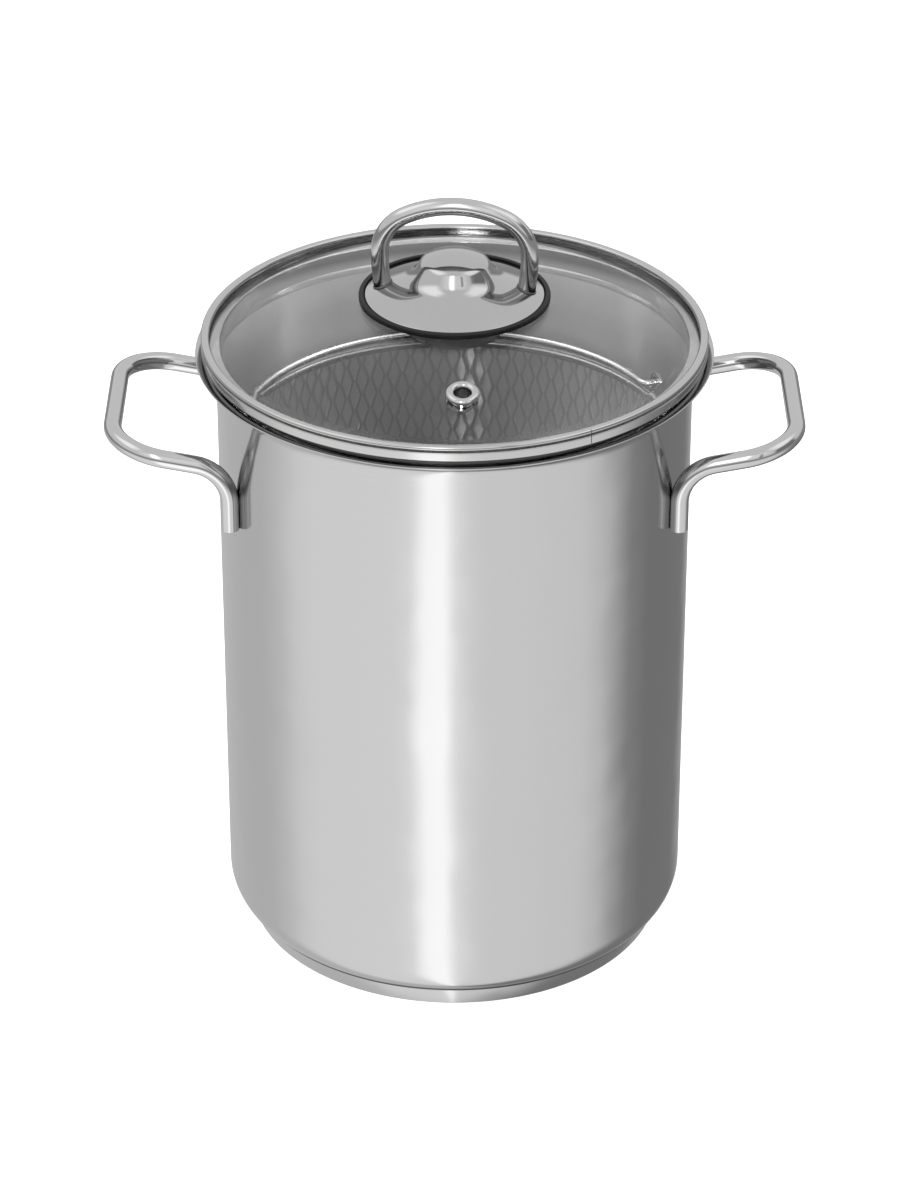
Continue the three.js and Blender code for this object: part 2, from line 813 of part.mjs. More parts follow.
function cupWasher() {
  const bowlIn = cupBowl - cupSheet;
  return lathe(
    [
      point(cupRadius - cupSheet / 2, cupTop),
      point(cupRadius, cupTop - cupSheet / 2),
      point(cupRadius, cupTop - cupEdge),
      point(cupRadius - cupSheet, cupTop - cupEdge),
      point(cupRadius - cupSheet, cupTop - cupSheet),
      point(cupBowl, cupTop - cupSheet),
      point(cupBowl, cupLow + cupSheet),
      point(cupBowl - cupSheet, cupLow),
      point(screwHole, cupLow),
      point(screwHole, cupLow + cupSheet),
      point(bowlIn, cupLow + cupSheet),
      point(bowlIn, cupTop),
    ],
    smallSides,
  );
}
add('cup_washer', cupWasher(), polished);

function knobScrew() {
  const headTop = cupLow - seatGap;
  const shank = screwDiameter / 2;
  return lathe(
    [
      point(0, headTop - screwHeadHeight),
      point(screwHead / 2, headTop - screwHeadHeight),
      point(screwHead, headTop - screwHeadHeight / 2),
      point(screwHead, headTop),
      point(shank, headTop),
      point(shank, nutTop),
      point(0, nutTop),
    ],
    smallSides,
  );
}
add('knob_screw', knobScrew(), polished);

export default asparagusPot;
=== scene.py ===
import math

import bpy
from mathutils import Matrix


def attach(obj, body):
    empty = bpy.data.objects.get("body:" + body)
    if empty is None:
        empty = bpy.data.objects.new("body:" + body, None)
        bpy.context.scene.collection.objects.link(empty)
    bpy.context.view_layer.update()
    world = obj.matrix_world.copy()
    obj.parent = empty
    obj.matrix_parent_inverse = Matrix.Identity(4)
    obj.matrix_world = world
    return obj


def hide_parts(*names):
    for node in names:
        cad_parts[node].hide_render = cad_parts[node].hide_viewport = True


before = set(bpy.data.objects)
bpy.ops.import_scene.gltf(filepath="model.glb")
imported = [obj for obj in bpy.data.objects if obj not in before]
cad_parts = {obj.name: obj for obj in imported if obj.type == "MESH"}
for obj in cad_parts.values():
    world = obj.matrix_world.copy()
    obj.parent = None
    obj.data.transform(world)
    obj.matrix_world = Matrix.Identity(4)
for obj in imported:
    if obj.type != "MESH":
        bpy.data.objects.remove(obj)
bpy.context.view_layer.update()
mm = 0.001
print("frame loaded:", len(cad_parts), "nodes")


# Colour and node helpers

def linear(hexColour):
    # sRGB hex to the linear colour that shader sockets take
    parts = [int(hexColour[i:i + 2], 16) / 255 for i in (1, 3, 5)]
    return [p / 12.92 if p <= 0.04045 else ((p + 0.055) / 1.055) ** 2.4 for p in parts] + [1.0]


def fillInputs(tree, node, inputs):
    # inputs take a plain value, or an output socket to link from
    for key, value in inputs.items():
        if isinstance(value, bpy.types.NodeSocket):
            tree.links.new(value, node.inputs[key])
        else:
            node.inputs[key].default_value = value


def addNode(tree, kind, settings=None, inputs=None):
    node = tree.nodes.new(kind)
    for key, value in (settings or {}).items():
        setattr(node, key, value)
    fillInputs(tree, node, inputs or {})
    return node


def newMaterial(name):
    material = bpy.data.materials.new(name)
    material.use_nodes = True
    tree = material.node_tree
    place = addNode(tree, "ShaderNodeTexCoord").outputs["Object"]
    return material, tree, tree.nodes["Principled BSDF"], place


# Materials

# 18/10 stainless steel sheet, drawn and polished round the pot: soft vertical reflections with hair lines
# round the wall, too fine for this picture size, so they are drawn 0.5 mm apart. Hand polishing leaves
# the sheet a little wavy, which bends the edges of its highlights
def polishedSheet(name, look):
    material, tree, shader, place = newMaterial(name)
    lines = addNode(tree, "ShaderNodeMapping", inputs={
        "Vector": place, "Scale": (2, 2, 1 / (look["lineMm"] * mm))})
    hair = addNode(tree, "ShaderNodeTexNoise", inputs={
        "Vector": lines.outputs["Vector"], "Scale": 1.0, "Detail": 3.0, "Roughness": 0.6})
    patches = addNode(tree, "ShaderNodeTexNoise", inputs={
        "Vector": place, "Scale": 1 / (look["patchMm"] * mm), "Detail": 2.0})
    blend = addNode(tree, "ShaderNodeMath", {"operation": "MULTIPLY"}, {
        0: hair.outputs["Fac"], 1: patches.outputs["Fac"]})
    colour = addNode(tree, "ShaderNodeMix", {"data_type": "RGBA"}, {
        "Factor": hair.outputs["Fac"], "A": linear(look["colours"][0]), "B": linear(look["colours"][1])})
    rough = addNode(tree, "ShaderNodeMapRange", inputs={
        "Value": blend.outputs[0], "From Min": 0.12, "From Max": 0.42,
        "To Min": look["roughness"][0], "To Max": look["roughness"][1]})
    bump = addNode(tree, "ShaderNodeBump", inputs={
        "Height": hair.outputs["Fac"], "Strength": 0.015, "Distance": 0.02 * mm})
    waves = addNode(tree, "ShaderNodeBump", inputs={
        "Height": patches.outputs["Fac"], "Strength": 1.0, "Distance": look["waveMm"] * mm,
        "Normal": bump.outputs["Normal"]})
    aroundZ = addNode(tree, "ShaderNodeTangent", {"direction_type": "RADIAL", "axis": "Z"})
    fillInputs(tree, shader, {
        "Metallic": 1.0, "Anisotropic": 0.55, "Anisotropic Rotation": 0.25,
        "Base Color": colour.outputs["Result"], "Roughness": rough.outputs["Result"],
        "Normal": waves.outputs["Normal"], "Tangent": aroundZ.outputs["Tangent"]})
    return material


wallLook = {"colours": ("#d0d0d0", "#d6d6d6"), "roughness": (0.10, 0.16), "lineMm": 0.5, "patchMm": 45,
            "waveMm": 0.9}
bandLook = {"colours": ("#cdcdcd", "#d9d9d9"), "roughness": (0.11, 0.17), "lineMm": 4, "patchMm": 60,
            "waveMm": 0.05}


# The same sheet inside the pot, left with the marks of a scouring pad: light spreads up and down the wall,
# and soft cloudy patches show where the pad turned
def scouredSheet():
    material, tree, shader, place = newMaterial("stainlessScouredInside")
    look = {"colour": "#e4e4e4", "roughness": (0.32, 0.42), "lineMm": 0.7, "runMm": 45, "cloudMm": 22}
    lines = addNode(tree, "ShaderNodeMapping", inputs={
        "Vector": place,
        "Scale": (1 / (look["runMm"] * mm), 1 / (look["runMm"] * mm), 1 / (look["lineMm"] * mm))})
    marks = addNode(tree, "ShaderNodeTexNoise", inputs={
        "Vector": lines.outputs["Vector"], "Scale": 1.0, "Detail": 4.0, "Roughness": 0.65})
    clouds = addNode(tree, "ShaderNodeTexNoise", inputs={
        "Vector": place, "Scale": 1 / (look["cloudMm"] * mm), "Detail": 2.0, "Distortion": 1.5})
    blend = addNode(tree, "ShaderNodeMath", {"operation": "MULTIPLY_ADD"}, {
        0: clouds.outputs["Fac"], 1: 1.4, 2: marks.outputs["Fac"]})
    rough = addNode(tree, "ShaderNodeMapRange", inputs={
        "Value": blend.outputs[0], "From Min": 0.85, "From Max": 1.55,
        "To Min": look["roughness"][0], "To Max": look["roughness"][1]})
    bump = addNode(tree, "ShaderNodeBump", inputs={
        "Height": marks.outputs["Fac"], "Strength": 0.12, "Distance": 0.05 * mm})
    aroundZ = addNode(tree, "ShaderNodeTangent", {"direction_type": "RADIAL", "axis": "Z"})
    fillInputs(tree, shader, {
        "Base Color": linear(look["colour"]), "Metallic": 1.0, "Anisotropic": 1.0,
        "Anisotropic Rotation": 0.25, "Roughness": rough.outputs["Result"],
        "Normal": bump.outputs["Normal"], "Tangent": aroundZ.outputs["Tangent"]})
    return material


# Stainless bar, pressings and trim, buffed to a mirror: sharp reflections with a faint buffing haze
def buffedSteel(name, look):
    material, tree, shader, place = newMaterial(name)
    haze = addNode(tree, "ShaderNodeTexNoise", inputs={
        "Vector": place, "Scale": 1 / (look["hazeMm"] * mm), "Detail": 5.0, "Roughness": 0.6})
    fine = addNode(tree, "ShaderNodeTexNoise", inputs={
        "Vector": place, "Scale": 1 / (look["scratchMm"] * mm), "Detail": 2.0})
    rough = addNode(tree, "ShaderNodeMapRange", inputs={
        "Value": haze.outputs["Fac"], "From Min": 0.3, "From Max": 0.7,
        "To Min": look["roughness"][0], "To Max": look["roughness"][1]})
    bump = addNode(tree, "ShaderNodeBump", inputs={
        "Height": fine.outputs["Fac"], "Strength": 0.008, "Distance": 0.02 * mm})
    fillInputs(tree, shader, {
        "Base Color": linear(look["colour"]), "Metallic": 1.0, "Roughness": rough.outputs["Result"],
        "Normal": bump.outputs["Normal"]})
    return material


# Bars and trim are buffed all over. The basket's rim, wire and lugs are only tumbled, so they glint softly
barLook = {"colour": "#d6d6d6", "roughness": (0.05, 0.12), "hazeMm": 6, "scratchMm": 0.6}
wireLook = {"colour": "#cfcfcf", "roughness": (0.2, 0.3), "hazeMm": 3, "scratchMm": 0.5}


# Steel with a grain: its look says how even the grey is, how sharp the sky shows and how light spreads
def grainedSteel(name, look):
    material, tree, shader, place = newMaterial(name)
    grain = addNode(tree, "ShaderNodeTexNoise", inputs={
        "Vector": place, "Scale": 1 / (look["grainMm"] * mm), "Detail": look["detail"],
        "Roughness": look["fine"]})
    colour = addNode(tree, "ShaderNodeMix", {"data_type": "RGBA"}, {
        "Factor": grain.outputs["Fac"], "A": linear(look["colours"][0]), "B": linear(look["colours"][1])})
    rough = addNode(tree, "ShaderNodeMapRange", inputs={
        "Value": grain.outputs["Fac"], "From Min": look["span"][0], "From Max": look["span"][1],
        "To Min": look["roughness"][0], "To Max": look["roughness"][1]})
    bump = addNode(tree, "ShaderNodeBump", inputs={
        "Height": grain.outputs["Fac"], "Strength": look["bump"], "Distance": look["bumpMm"] * mm})
    aroundZ = addNode(tree, "ShaderNodeTangent", {"direction_type": "RADIAL", "axis": "Z"})
    fillInputs(tree, shader, {
        "Metallic": 1.0, "Anisotropic": look["drawn"], "Anisotropic Rotation": 0.25,
        "Base Color": colour.outputs["Result"], "Roughness": rough.outputs["Result"],
        "Normal": bump.outputs["Normal"], "Tangent": aroundZ.outputs["Tangent"]})
    return material


# Pressed plate of the knob, satin: the sky shows in it as an even grey with a fine grain
satinLook = {"colours": ("#c6c6c6", "#d2d2d2"), "roughness": (0.045, 0.085), "grainMm": 0.35, "detail": 4.0,
             "fine": 0.6, "span": (0.3, 0.7), "bump": 0.03, "bumpMm": 0.02, "drawn": 0.0}
# Weld seam: the same steel, burnt darker and left rough where the bar meets the plate. The lid band's groove
# takes it too, as painted shade
weldAndGrooveShadeLook = {"colours": ("#4a4743", "#a19e99"), "roughness": (0.3, 0.55), "grainMm": 0.9, "detail": 3.0,
            "fine": 0.5, "span": (0.0, 1.0), "bump": 0.6, "bumpMm": 0.3, "drawn": 0.0}
# Expanded sheet: slit, stretched and rolled flat, so its faces keep the dull drawn look of the sheet
meshLook = {"colours": ("#c4c4c4", "#dcdcdc"), "roughness": (0.32, 0.42), "grainMm": 1.2, "detail": 3.0,
            "fine": 0.5, "span": (0.3, 0.7), "bump": 0.1, "bumpMm": 0.05, "drawn": 0.5}
# Slit edges of that sheet, painted lighter than its faces as a painted glint along the strands
slitEdgeGlintLook = {"colours": ("#e6e6e6", "#f4f4f4"), "roughness": (0.4, 0.5), "grainMm": 0.8, "detail": 3.0,
            "fine": 0.5, "span": (0.3, 0.7), "bump": 0.2, "bumpMm": 0.05, "drawn": 0.0}


# Rolled aluminium of the heat-spreading core, dull with rolling streaks along X
def rolledAluminium():
    material, tree, shader, place = newMaterial("aluminiumRolled")
    look = {"colour": "#c3c6c8", "roughness": (0.35, 0.5), "streakMm": 1.5}
    along = addNode(tree, "ShaderNodeMapping", inputs={
        "Vector": place, "Scale": (20, 1 / (look["streakMm"] * mm), 20)})
    streaks = addNode(tree, "ShaderNodeTexNoise", inputs={"Vector": along.outputs["Vector"], "Scale": 1.0})
    rough = addNode(tree, "ShaderNodeMapRange", inputs={
        "Value": streaks.outputs["Fac"], "To Min": look["roughness"][0], "To Max": look["roughness"][1]})
    fillInputs(tree, shader, {
        "Base Color": linear(look["colour"]), "Metallic": 1.0, "Roughness": rough.outputs["Result"]})
    return material


# Tempered soda-lime glass of the lid, clear with a trace of grey in its thickness
def temperedGlass():
    material, tree, shader, place = newMaterial("glassTempered")
    look = {"colour": "#f8f8f8", "roughness": 0.0, "rippleMm": 35}
    ripple = addNode(tree, "ShaderNodeTexNoise", inputs={
        "Vector": place, "Scale": 1 / (look["rippleMm"] * mm), "Detail": 1.0})
    bump = addNode(tree, "ShaderNodeBump", inputs={
        "Height": ripple.outputs["Fac"], "Strength": 0.02, "Distance": 0.1 * mm})
    fillInputs(tree, shader, {
        "Base Color": linear(look["colour"]), "Roughness": look["roughness"], "IOR": 1.5,
        "Transmission Weight": 1.0, "Normal": bump.outputs["Normal"]})
    return material


# Black silicone of the knob gasket and seal, moulded with a soft satin skin
def mouldedSilicone():
    material, tree, shader, place = newMaterial("siliconeBlackMoulded")
    look = {"colours": ("#0f0f10", "#19191a"), "roughness": (0.42, 0.58), "skinMm": 0.8}
    skin = addNode(tree, "ShaderNodeTexNoise", inputs={
        "Vector": place, "Scale": 1 / (look["skinMm"] * mm), "Detail": 3.0})
    colour = addNode(tree, "ShaderNodeMix", {"data_type": "RGBA"}, {
        "Factor": skin.outputs["Fac"], "A": linear(look["colours"][0]), "B": linear(look["colours"][1])})
    rough = addNode(tree, "ShaderNodeMapRange", inputs={
        "Value": skin.outputs["Fac"], "To Min": look["roughness"][0], "To Max": look["roughness"][1]})
    bump = addNode(tree, "ShaderNodeBump", inputs={
        "Height": skin.outputs["Fac"], "Strength": 0.1, "Distance": 0.03 * mm})
    fillInputs(tree, shader, {
        "IOR": 1.41, "Base Color": colour.outputs["Result"], "Roughness": rough.outputs["Result"],
        "Normal": bump.outputs["Normal"]})
    return material


polishedMaterial = polishedSheet("stainlessPolishedRound", wallLook)
bandMaterial = polishedSheet("stainlessRolledBand", bandLook)
scouredMaterial = scouredSheet()
buffedMaterial = buffedSteel("stainlessBuffedMirror", barLook)
wireMaterial = buffedSteel("stainlessTumbledWire", wireLook)
satinMaterial = grainedSteel("stainlessSatinPressing", satinLook)
weldAndGrooveShadeMaterial = grainedSteel("stainlessWeldSeamAndGrooveShade", weldAndGrooveShadeLook)
expandedMaterial = grainedSteel("stainlessExpandedSheet", meshLook)
slitEdgeGlintMaterial = grainedSteel("stainlessSlitEdgePaintedGlint", slitEdgeGlintLook)
aluminiumMaterial = rolledAluminium()
glassMaterial = temperedGlass()
siliconeMaterial = mouldedSilicone()
print("materials ready:", len(bpy.data.materials))


# Modelling helpers

def startPiece():
    if bpy.context.object and bpy.context.object.mode != "OBJECT":
        bpy.ops.object.mode_set(mode="OBJECT")
    bpy.ops.object.select_all(action="DESELECT")


def endPiece(name, body, materials, nodes, smoothAngle=40):
    piece = bpy.context.object
    if piece.mode != "OBJECT":
        bpy.ops.object.mode_set(mode="OBJECT")
    piece.name = name
    piece.data.name = name
    for material in materials:
        piece.data.materials.append(material)
    bpy.ops.object.shade_smooth_by_angle(angle=math.radians(smoothAngle))
    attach(piece, body)
    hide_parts(*nodes)
    return piece


def arcPoints(r, z, radius, fromDeg, toDeg, steps):
    # points of an arc in a turning profile
    found = []
    for i in range(steps + 1):
        angle = math.radians(fromDeg + (toDeg - fromDeg) * i / steps)
        found.append((r + radius * math.cos(angle), z + radius * math.sin(angle)))
    return found


def roundCorners(corners, steps=6):
    # corners are (r, z, radius): each sharp corner of a profile becomes an arc that meets both of its sides
    found = []
    for i, (r, z, radius) in enumerate(corners):
        if radius == 0 or i in (0, len(corners) - 1):
            found.append((r, z))
            continue
        sides = []
        for r1, z1, ignored in (corners[i - 1], corners[i + 1]):
            length = math.hypot(r1 - r, z1 - z)
            sides.append(((r1 - r) / length, (z1 - z) / length))
        (ar, az), (br, bz) = sides
        half = math.acos(max(-1.0, min(1.0, ar * br + az * bz))) / 2
        run, reach = radius / math.tan(half), radius / math.sin(half)
        middle = math.hypot(ar + br, az + bz)
        cr, cz = r + (ar + br) / middle * reach, z + (az + bz) / middle * reach
        start = math.atan2(z + az * run - cz, r + ar * run - cr)
        end = math.atan2(z + bz * run - cz, r + br * run - cr)
        sweep = (end - start + math.pi) % (2 * math.pi) - math.pi
        for k in range(steps + 1):
            angle = start + sweep * k / steps
            found.append((cr + radius * math.cos(angle), cz + radius * math.sin(angle)))
    return found


def turnProfile(profile, steps=160):
    # one corner is drawn out along the profile, in mm, and spun once round Z
    startPiece()
    bpy.ops.mesh.primitive_plane_add(size=0.001, enter_editmode=True)
    bpy.ops.mesh.select_all(action="SELECT")
    bpy.ops.mesh.merge(type="CENTER")
    bpy.ops.transform.translate(value=(profile[0][0] * mm, 0, profile[0][1] * mm))
    for (r0, z0), (r1, z1) in zip(profile, profile[1:]):
        bpy.ops.mesh.extrude_vertices_move(
            TRANSFORM_OT_translate={"value": ((r1 - r0) * mm, 0, (z1 - z0) * mm)})
    bpy.ops.mesh.select_all(action="SELECT")
    bpy.ops.mesh.remove_doubles(threshold=1e-6)
    bpy.ops.mesh.spin(steps=steps, angle=2 * math.pi, center=(0, 0, 0), axis=(0, 0, 1))
    bpy.ops.mesh.select_all(action="SELECT")
    bpy.ops.mesh.remove_doubles(threshold=1e-6)
    bpy.ops.mesh.normals_make_consistent(inside=False)
    bpy.ops.object.mode_set(mode="OBJECT")
    return bpy.context.object


def startRod(place, direction, diameter, corners=28):
    # an open ring of the bar's section, square to the way it sets out
    startPiece()
    x, y, z = direction
    tilt = math.atan2(math.hypot(x, y), z)
    turn = math.atan2(y, x)
    bpy.ops.mesh.primitive_circle_add(
        vertices=corners, radius=diameter / 2 * mm, fill_type="NOTHING",
        location=[c * mm for c in place], rotation=(0, tilt, turn))
    bpy.ops.object.transform_apply(location=True, rotation=True, scale=True)
    bpy.ops.object.mode_set(mode="EDIT")
    bpy.ops.mesh.select_all(action="SELECT")


def drawRod(move):
    bpy.ops.mesh.extrude_edges_move(TRANSFORM_OT_translate={"value": [c * mm for c in move]})


def bendRod(center, axis, degrees, steps):
    # the spin tool turns left-handed, so its angle is negative here
    bpy.ops.mesh.spin(
        steps=steps, angle=-math.radians(degrees), center=[c * mm for c in center], axis=axis,
        use_auto_merge=False)


def closeRod():
    bpy.ops.mesh.select_all(action="SELECT")
    bpy.ops.mesh.remove_doubles(threshold=1e-6)
    bpy.ops.mesh.select_all(action="DESELECT")
    bpy.ops.mesh.select_non_manifold()
    bpy.ops.mesh.fill_holes(sides=0)
    bpy.ops.mesh.select_all(action="SELECT")
    bpy.ops.mesh.normals_make_consistent(inside=False)
    bpy.ops.object.mode_set(mode="OBJECT")
    return bpy.context.object


def applyModifiers(piece):
    bpy.context.view_layer.objects.active = piece
    for modifier in list(piece.modifiers):
        bpy.ops.object.modifier_apply(modifier=modifier.name)


# Pot: thin drawn shell with a rounded corner and a flared pouring rim

potSize = {"radius": 80.6, "wall": 0.8, "floorZ": 5.5, "corner": 12.0, "flareZ": 210.624, "flare": 7.0,
           "flareTurn": 75.0, "lip": 1.6, "edge": 0.5, "flareSteps": 16, "middleZ": 110.0, "floorRing": 40,
           "wallRings": (60, 110, 160)}


def makePot():
    s = potSize
    cornerR, cornerZ = s["radius"] - s["corner"], s["floorZ"] + s["corner"]
    flareR, endDeg = s["radius"] + s["flare"], 180 - s["flareTurn"]
    lipDeg = math.radians(90 - s["flareTurn"])
    lip = (s["lip"] * math.cos(lipDeg), s["lip"] * math.sin(lipDeg))
    steps = s["flareSteps"]
    outer = arcPoints(flareR, s["flareZ"], s["flare"], 180, endDeg, steps)
    inner = []  # the sheet thins out towards the edge
    for i in range(steps + 1):
        angle = math.radians(endDeg + s["flareTurn"] * i / steps)
        reach = s["flare"] + s["edge"] + (s["wall"] - s["edge"]) * i / steps
        inner.append((flareR + reach * math.cos(angle), s["flareZ"] + reach * math.sin(angle)))
    edge = ((outer[-1][0] + inner[0][0]) / 2 + lip[0], (outer[-1][1] + inner[0][1]) / 2 + lip[1])
    rounded = arcPoints(edge[0], edge[1], s["edge"] / 2, endDeg - 180, endDeg, 6)
    profile = [(0, s["floorZ"]), (s["floorRing"], s["floorZ"])]
    profile += arcPoints(cornerR, cornerZ, s["corner"], 270, 360, 16)
    profile += [(s["radius"], z) for z in s["wallRings"]] + outer + rounded + inner
    profile += [(s["radius"] - s["wall"], z) for z in reversed(s["wallRings"])]
    profile += arcPoints(cornerR, cornerZ, s["corner"] - s["wall"], 360, 270, 16)
    profile += [(s["floorRing"], s["floorZ"] + s["wall"]), (0, s["floorZ"] + s["wall"])]
    piece = turnProfile(profile, 192)
    for face in piece.data.polygons:  # the scoured inside faces the middle of the pot, below the polished rim
        x, y, z = face.center
        toMiddle = (-x, -y, s["middleZ"] * mm - z)
        if z < s["flareZ"] * mm and sum(a * b for a, b in zip(face.normal, toMiddle)) > 0:
            face.material_index = 1
    return endPiece("potShell", "pot", [polishedMaterial, scouredMaterial],
                    ["pot_body"], 50)


makePot()

baseSize = {"foot": 72.2, "rim": 76.0, "rimZ": 7.75, "sheet": 0.8}


def makeBaseCap():
    s = baseSize
    profile = [(0, 0), (s["foot"] - 0.6, 0)]
    profile += arcPoints(s["foot"] - 0.1, 0.9, 0.9, 270, 336, 6)
    profile += [(s["rim"] - 0.25, s["rimZ"] - 0.45), (s["rim"] - 0.1, s["rimZ"] - 0.1),
                (s["rim"] - 0.3, s["rimZ"])]
    profile += [(s["rim"] - s["sheet"], s["rimZ"] - 0.6), (s["foot"] - 0.2, s["sheet"] + 0.7),
                (s["foot"] - 0.9, s["sheet"]), (0, s["sheet"])]
    turnProfile(profile, 160)
    return endPiece("baseCap", "pot", [polishedMaterial], ["base_cap"])


makeBaseCap()
print("pot and base turned")


# Side handles: round bar, bent at the feet and at the grip corners

handleSize = {"bar": 6.2, "spread": 36.0, "reach": 114.9, "bendZ": 179.0, "foot": 10.6, "sink": 0.2,
              "footBend": 14.0, "gripBend": 18.5, "rise": 11.0}


def makeHandle(name, node, turned):
    s = handleSize
    footRadius = potSize["radius"] + s["bar"] / 2 - s["sink"]
    footX = math.sqrt(footRadius ** 2 - s["spread"] ** 2)
    rise = math.radians(s["rise"])
    out = (math.cos(rise), 0, math.sin(rise))
    square = (-math.sin(rise), 0, math.cos(rise))
    turn = 90 - s["rise"]
    armX = footX + s["footBend"] * (1 - math.cos(math.radians(turn)))
    armZ = s["bendZ"] + s["footBend"] * math.sin(math.radians(turn))
    arm = (s["reach"] - armX) / out[0] - s["gripBend"]
    cornerX, cornerZ = armX + arm * out[0], armZ + arm * out[2]
    grip = 2 * (s["spread"] - s["gripBend"])
    startRod((footX, -s["spread"], s["bendZ"] - s["foot"]), (0, 0, 1), s["bar"])
    drawRod((0, 0, s["foot"]))
    bendRod((footX + s["footBend"], -s["spread"], s["bendZ"]), (0, 1, 0), turn, 14)
    drawRod([c * arm for c in out])
    bendRod((cornerX, s["gripBend"] - s["spread"], cornerZ), square, 90, 16)
    drawRod((0, grip, 0))
    bendRod((cornerX, s["spread"] - s["gripBend"], cornerZ), square, 90, 16)
    drawRod([-c * arm for c in out])
    bendRod((footX + s["footBend"], s["spread"], s["bendZ"]), (0, -1, 0), turn, 14)
    drawRod((0, 0, -s["foot"]))
    piece = closeRod()
    if turned:
        piece.rotation_euler = (0, 0, math.pi)
        bpy.ops.object.transform_apply(location=True, rotation=True, scale=True)
    return endPiece(name, "pot", [buffedMaterial], [node], 60)


makeHandle("handleRight", "right_handle", False)
makeHandle("handleLeft", "left_handle", True)
print("handles bent")


# Basket: expanded metal between a folded rim and a bottom ring. The sheet is slit, pulled open and rolled
# nearly flat, so it is made of upright zigzag strands with a slight slant, each touching its neighbours
# at the knuckles

basketSize = {"radius": 74.5, "low": 10.85, "top": 184.6, "columns": 77, "rows": 15, "strand": 1.15,
              "thick": 0.65, "slant": 4.0, "turn": 25.0}
cellWidth = 2 * math.pi * basketSize["radius"] / basketSize["columns"]
cellHeight = (basketSize["top"] - basketSize["low"]) / basketSize["rows"]


def makeStrands(columns, rows):
    # two neighbouring strands are bent for one row, then tiled; X runs along the sheet, Y is its thickness
    s = basketSize
    slant = math.radians(s["slant"])
    swing = (cellWidth / 2 - s["strand"] * math.cos(slant)) / 2
    depth = s["strand"] / 2 * math.sin(slant)
    pair = []
    for shift, side in ((0, 1), (cellWidth / 2, -1)):
        startPiece()
        bpy.ops.mesh.primitive_plane_add(size=1, enter_editmode=True)
        bpy.ops.mesh.select_all(action="SELECT")
        bpy.ops.transform.resize(value=(s["strand"] * mm, s["thick"] * mm, 1))
        bpy.ops.transform.rotate(value=-slant, orient_axis="Z", center_override=(0, 0, 0))
        bpy.ops.transform.translate(value=((shift - side * swing) * mm, side * depth * mm, 0))
        bpy.ops.mesh.delete(type="ONLY_FACE")
        bpy.ops.mesh.select_all(action="SELECT")
        for way in (side, -side):
            bpy.ops.mesh.extrude_edges_move(TRANSFORM_OT_translate={
                "value": (2 * way * swing * mm, -2 * way * depth * mm, cellHeight / 2 * mm)})
        bpy.ops.object.mode_set(mode="OBJECT")
        pair.append(bpy.context.object)
    pair[0].select_set(True)
    bpy.ops.object.join()
    piece = bpy.context.object
    for name, count, step in (("columns", columns, (cellWidth * mm, 0, 0)),
                              ("rows", rows, (0, 0, cellHeight * mm))):
        tiles = piece.modifiers.new(name, "ARRAY")
        tiles.count = count
        tiles.use_relative_offset = False
        tiles.use_constant_offset = True
        tiles.constant_offset_displace = step
    applyModifiers(piece)
    bpy.ops.object.mode_set(mode="EDIT")
    bpy.ops.mesh.select_all(action="SELECT")
    bpy.ops.mesh.remove_doubles(threshold=1e-6)
    bpy.ops.object.mode_set(mode="OBJECT")
    return piece


def closeStrands():
    bpy.ops.object.mode_set(mode="EDIT")
    bpy.ops.mesh.select_mode(type="VERT")
    bpy.ops.mesh.select_all(action="DESELECT")
    bpy.ops.mesh.select_non_manifold()
    bpy.ops.mesh.fill_holes(sides=4)
    bpy.ops.mesh.select_all(action="SELECT")
    bpy.ops.mesh.normals_make_consistent(inside=False)
    bpy.ops.object.mode_set(mode="OBJECT")
    mesh = bpy.context.object.data
    narrow = (basketSize["thick"] + basketSize["strand"]) / 2 * mm
    for face in mesh.polygons:  # slit edges are as narrow as the sheet is thick; they take the lighter painted-glint colour
        if min((mesh.vertices[i].co - mesh.vertices[j].co).length for i, j in face.edge_keys) < narrow:
            face.material_index = 1


def makeBasketWall():
    s = basketSize
    piece = makeStrands(s["columns"], s["rows"])
    piece.location = (-s["columns"] * cellWidth / 2 * mm, 0, s["low"] * mm)
    bpy.ops.object.transform_apply(location=True, rotation=True, scale=True)
    wrap = piece.modifiers.new("wrap", "SIMPLE_DEFORM")
    wrap.deform_method = "BEND"
    wrap.deform_axis = "Z"
    wrap.angle = 2 * math.pi
    applyModifiers(piece)
    piece.location = (0, -s["radius"] * mm, 0)
    bpy.ops.object.transform_apply(location=True, rotation=True, scale=True)
    piece.rotation_euler = (0, 0, math.radians(s["turn"]))
    bpy.ops.object.transform_apply(location=True, rotation=True, scale=True)
    closeStrands()
    return endPiece("basketMesh", "basket", [expandedMaterial, slitEdgeGlintMaterial],
                    ["basket_wall"], 35)


makeBasketWall()

rimSize = {"inner": 73.0, "outer": 76.0, "top": 185.4, "depth": 2.7, "sheet": 0.5}


def makeBasketRim():
    s = rimSize
    half = (s["outer"] - s["inner"]) / 2
    middle, shoulder = (s["outer"] + s["inner"]) / 2, s["top"] - half
    profile = [(s["inner"], s["top"] - s["depth"])]
    profile += arcPoints(middle, shoulder, half, 180, 0, 14)
    profile += [(s["outer"], s["top"] - s["depth"]), (s["outer"] - s["sheet"], s["top"] - s["depth"])]
    profile += arcPoints(middle, shoulder, half - s["sheet"], 0, 180, 10)
    profile += [(s["inner"] + s["sheet"], s["top"] - s["depth"]), (s["inner"], s["top"] - s["depth"])]
    turnProfile(profile, 160)
    return endPiece("basketRim", "basket", [wireMaterial], ["basket_rim"])


makeBasketRim()

ringSize = {"outer": 76.1, "low": 9.95, "depth": 5.5, "sheet": 0.6, "flange": 67.4}


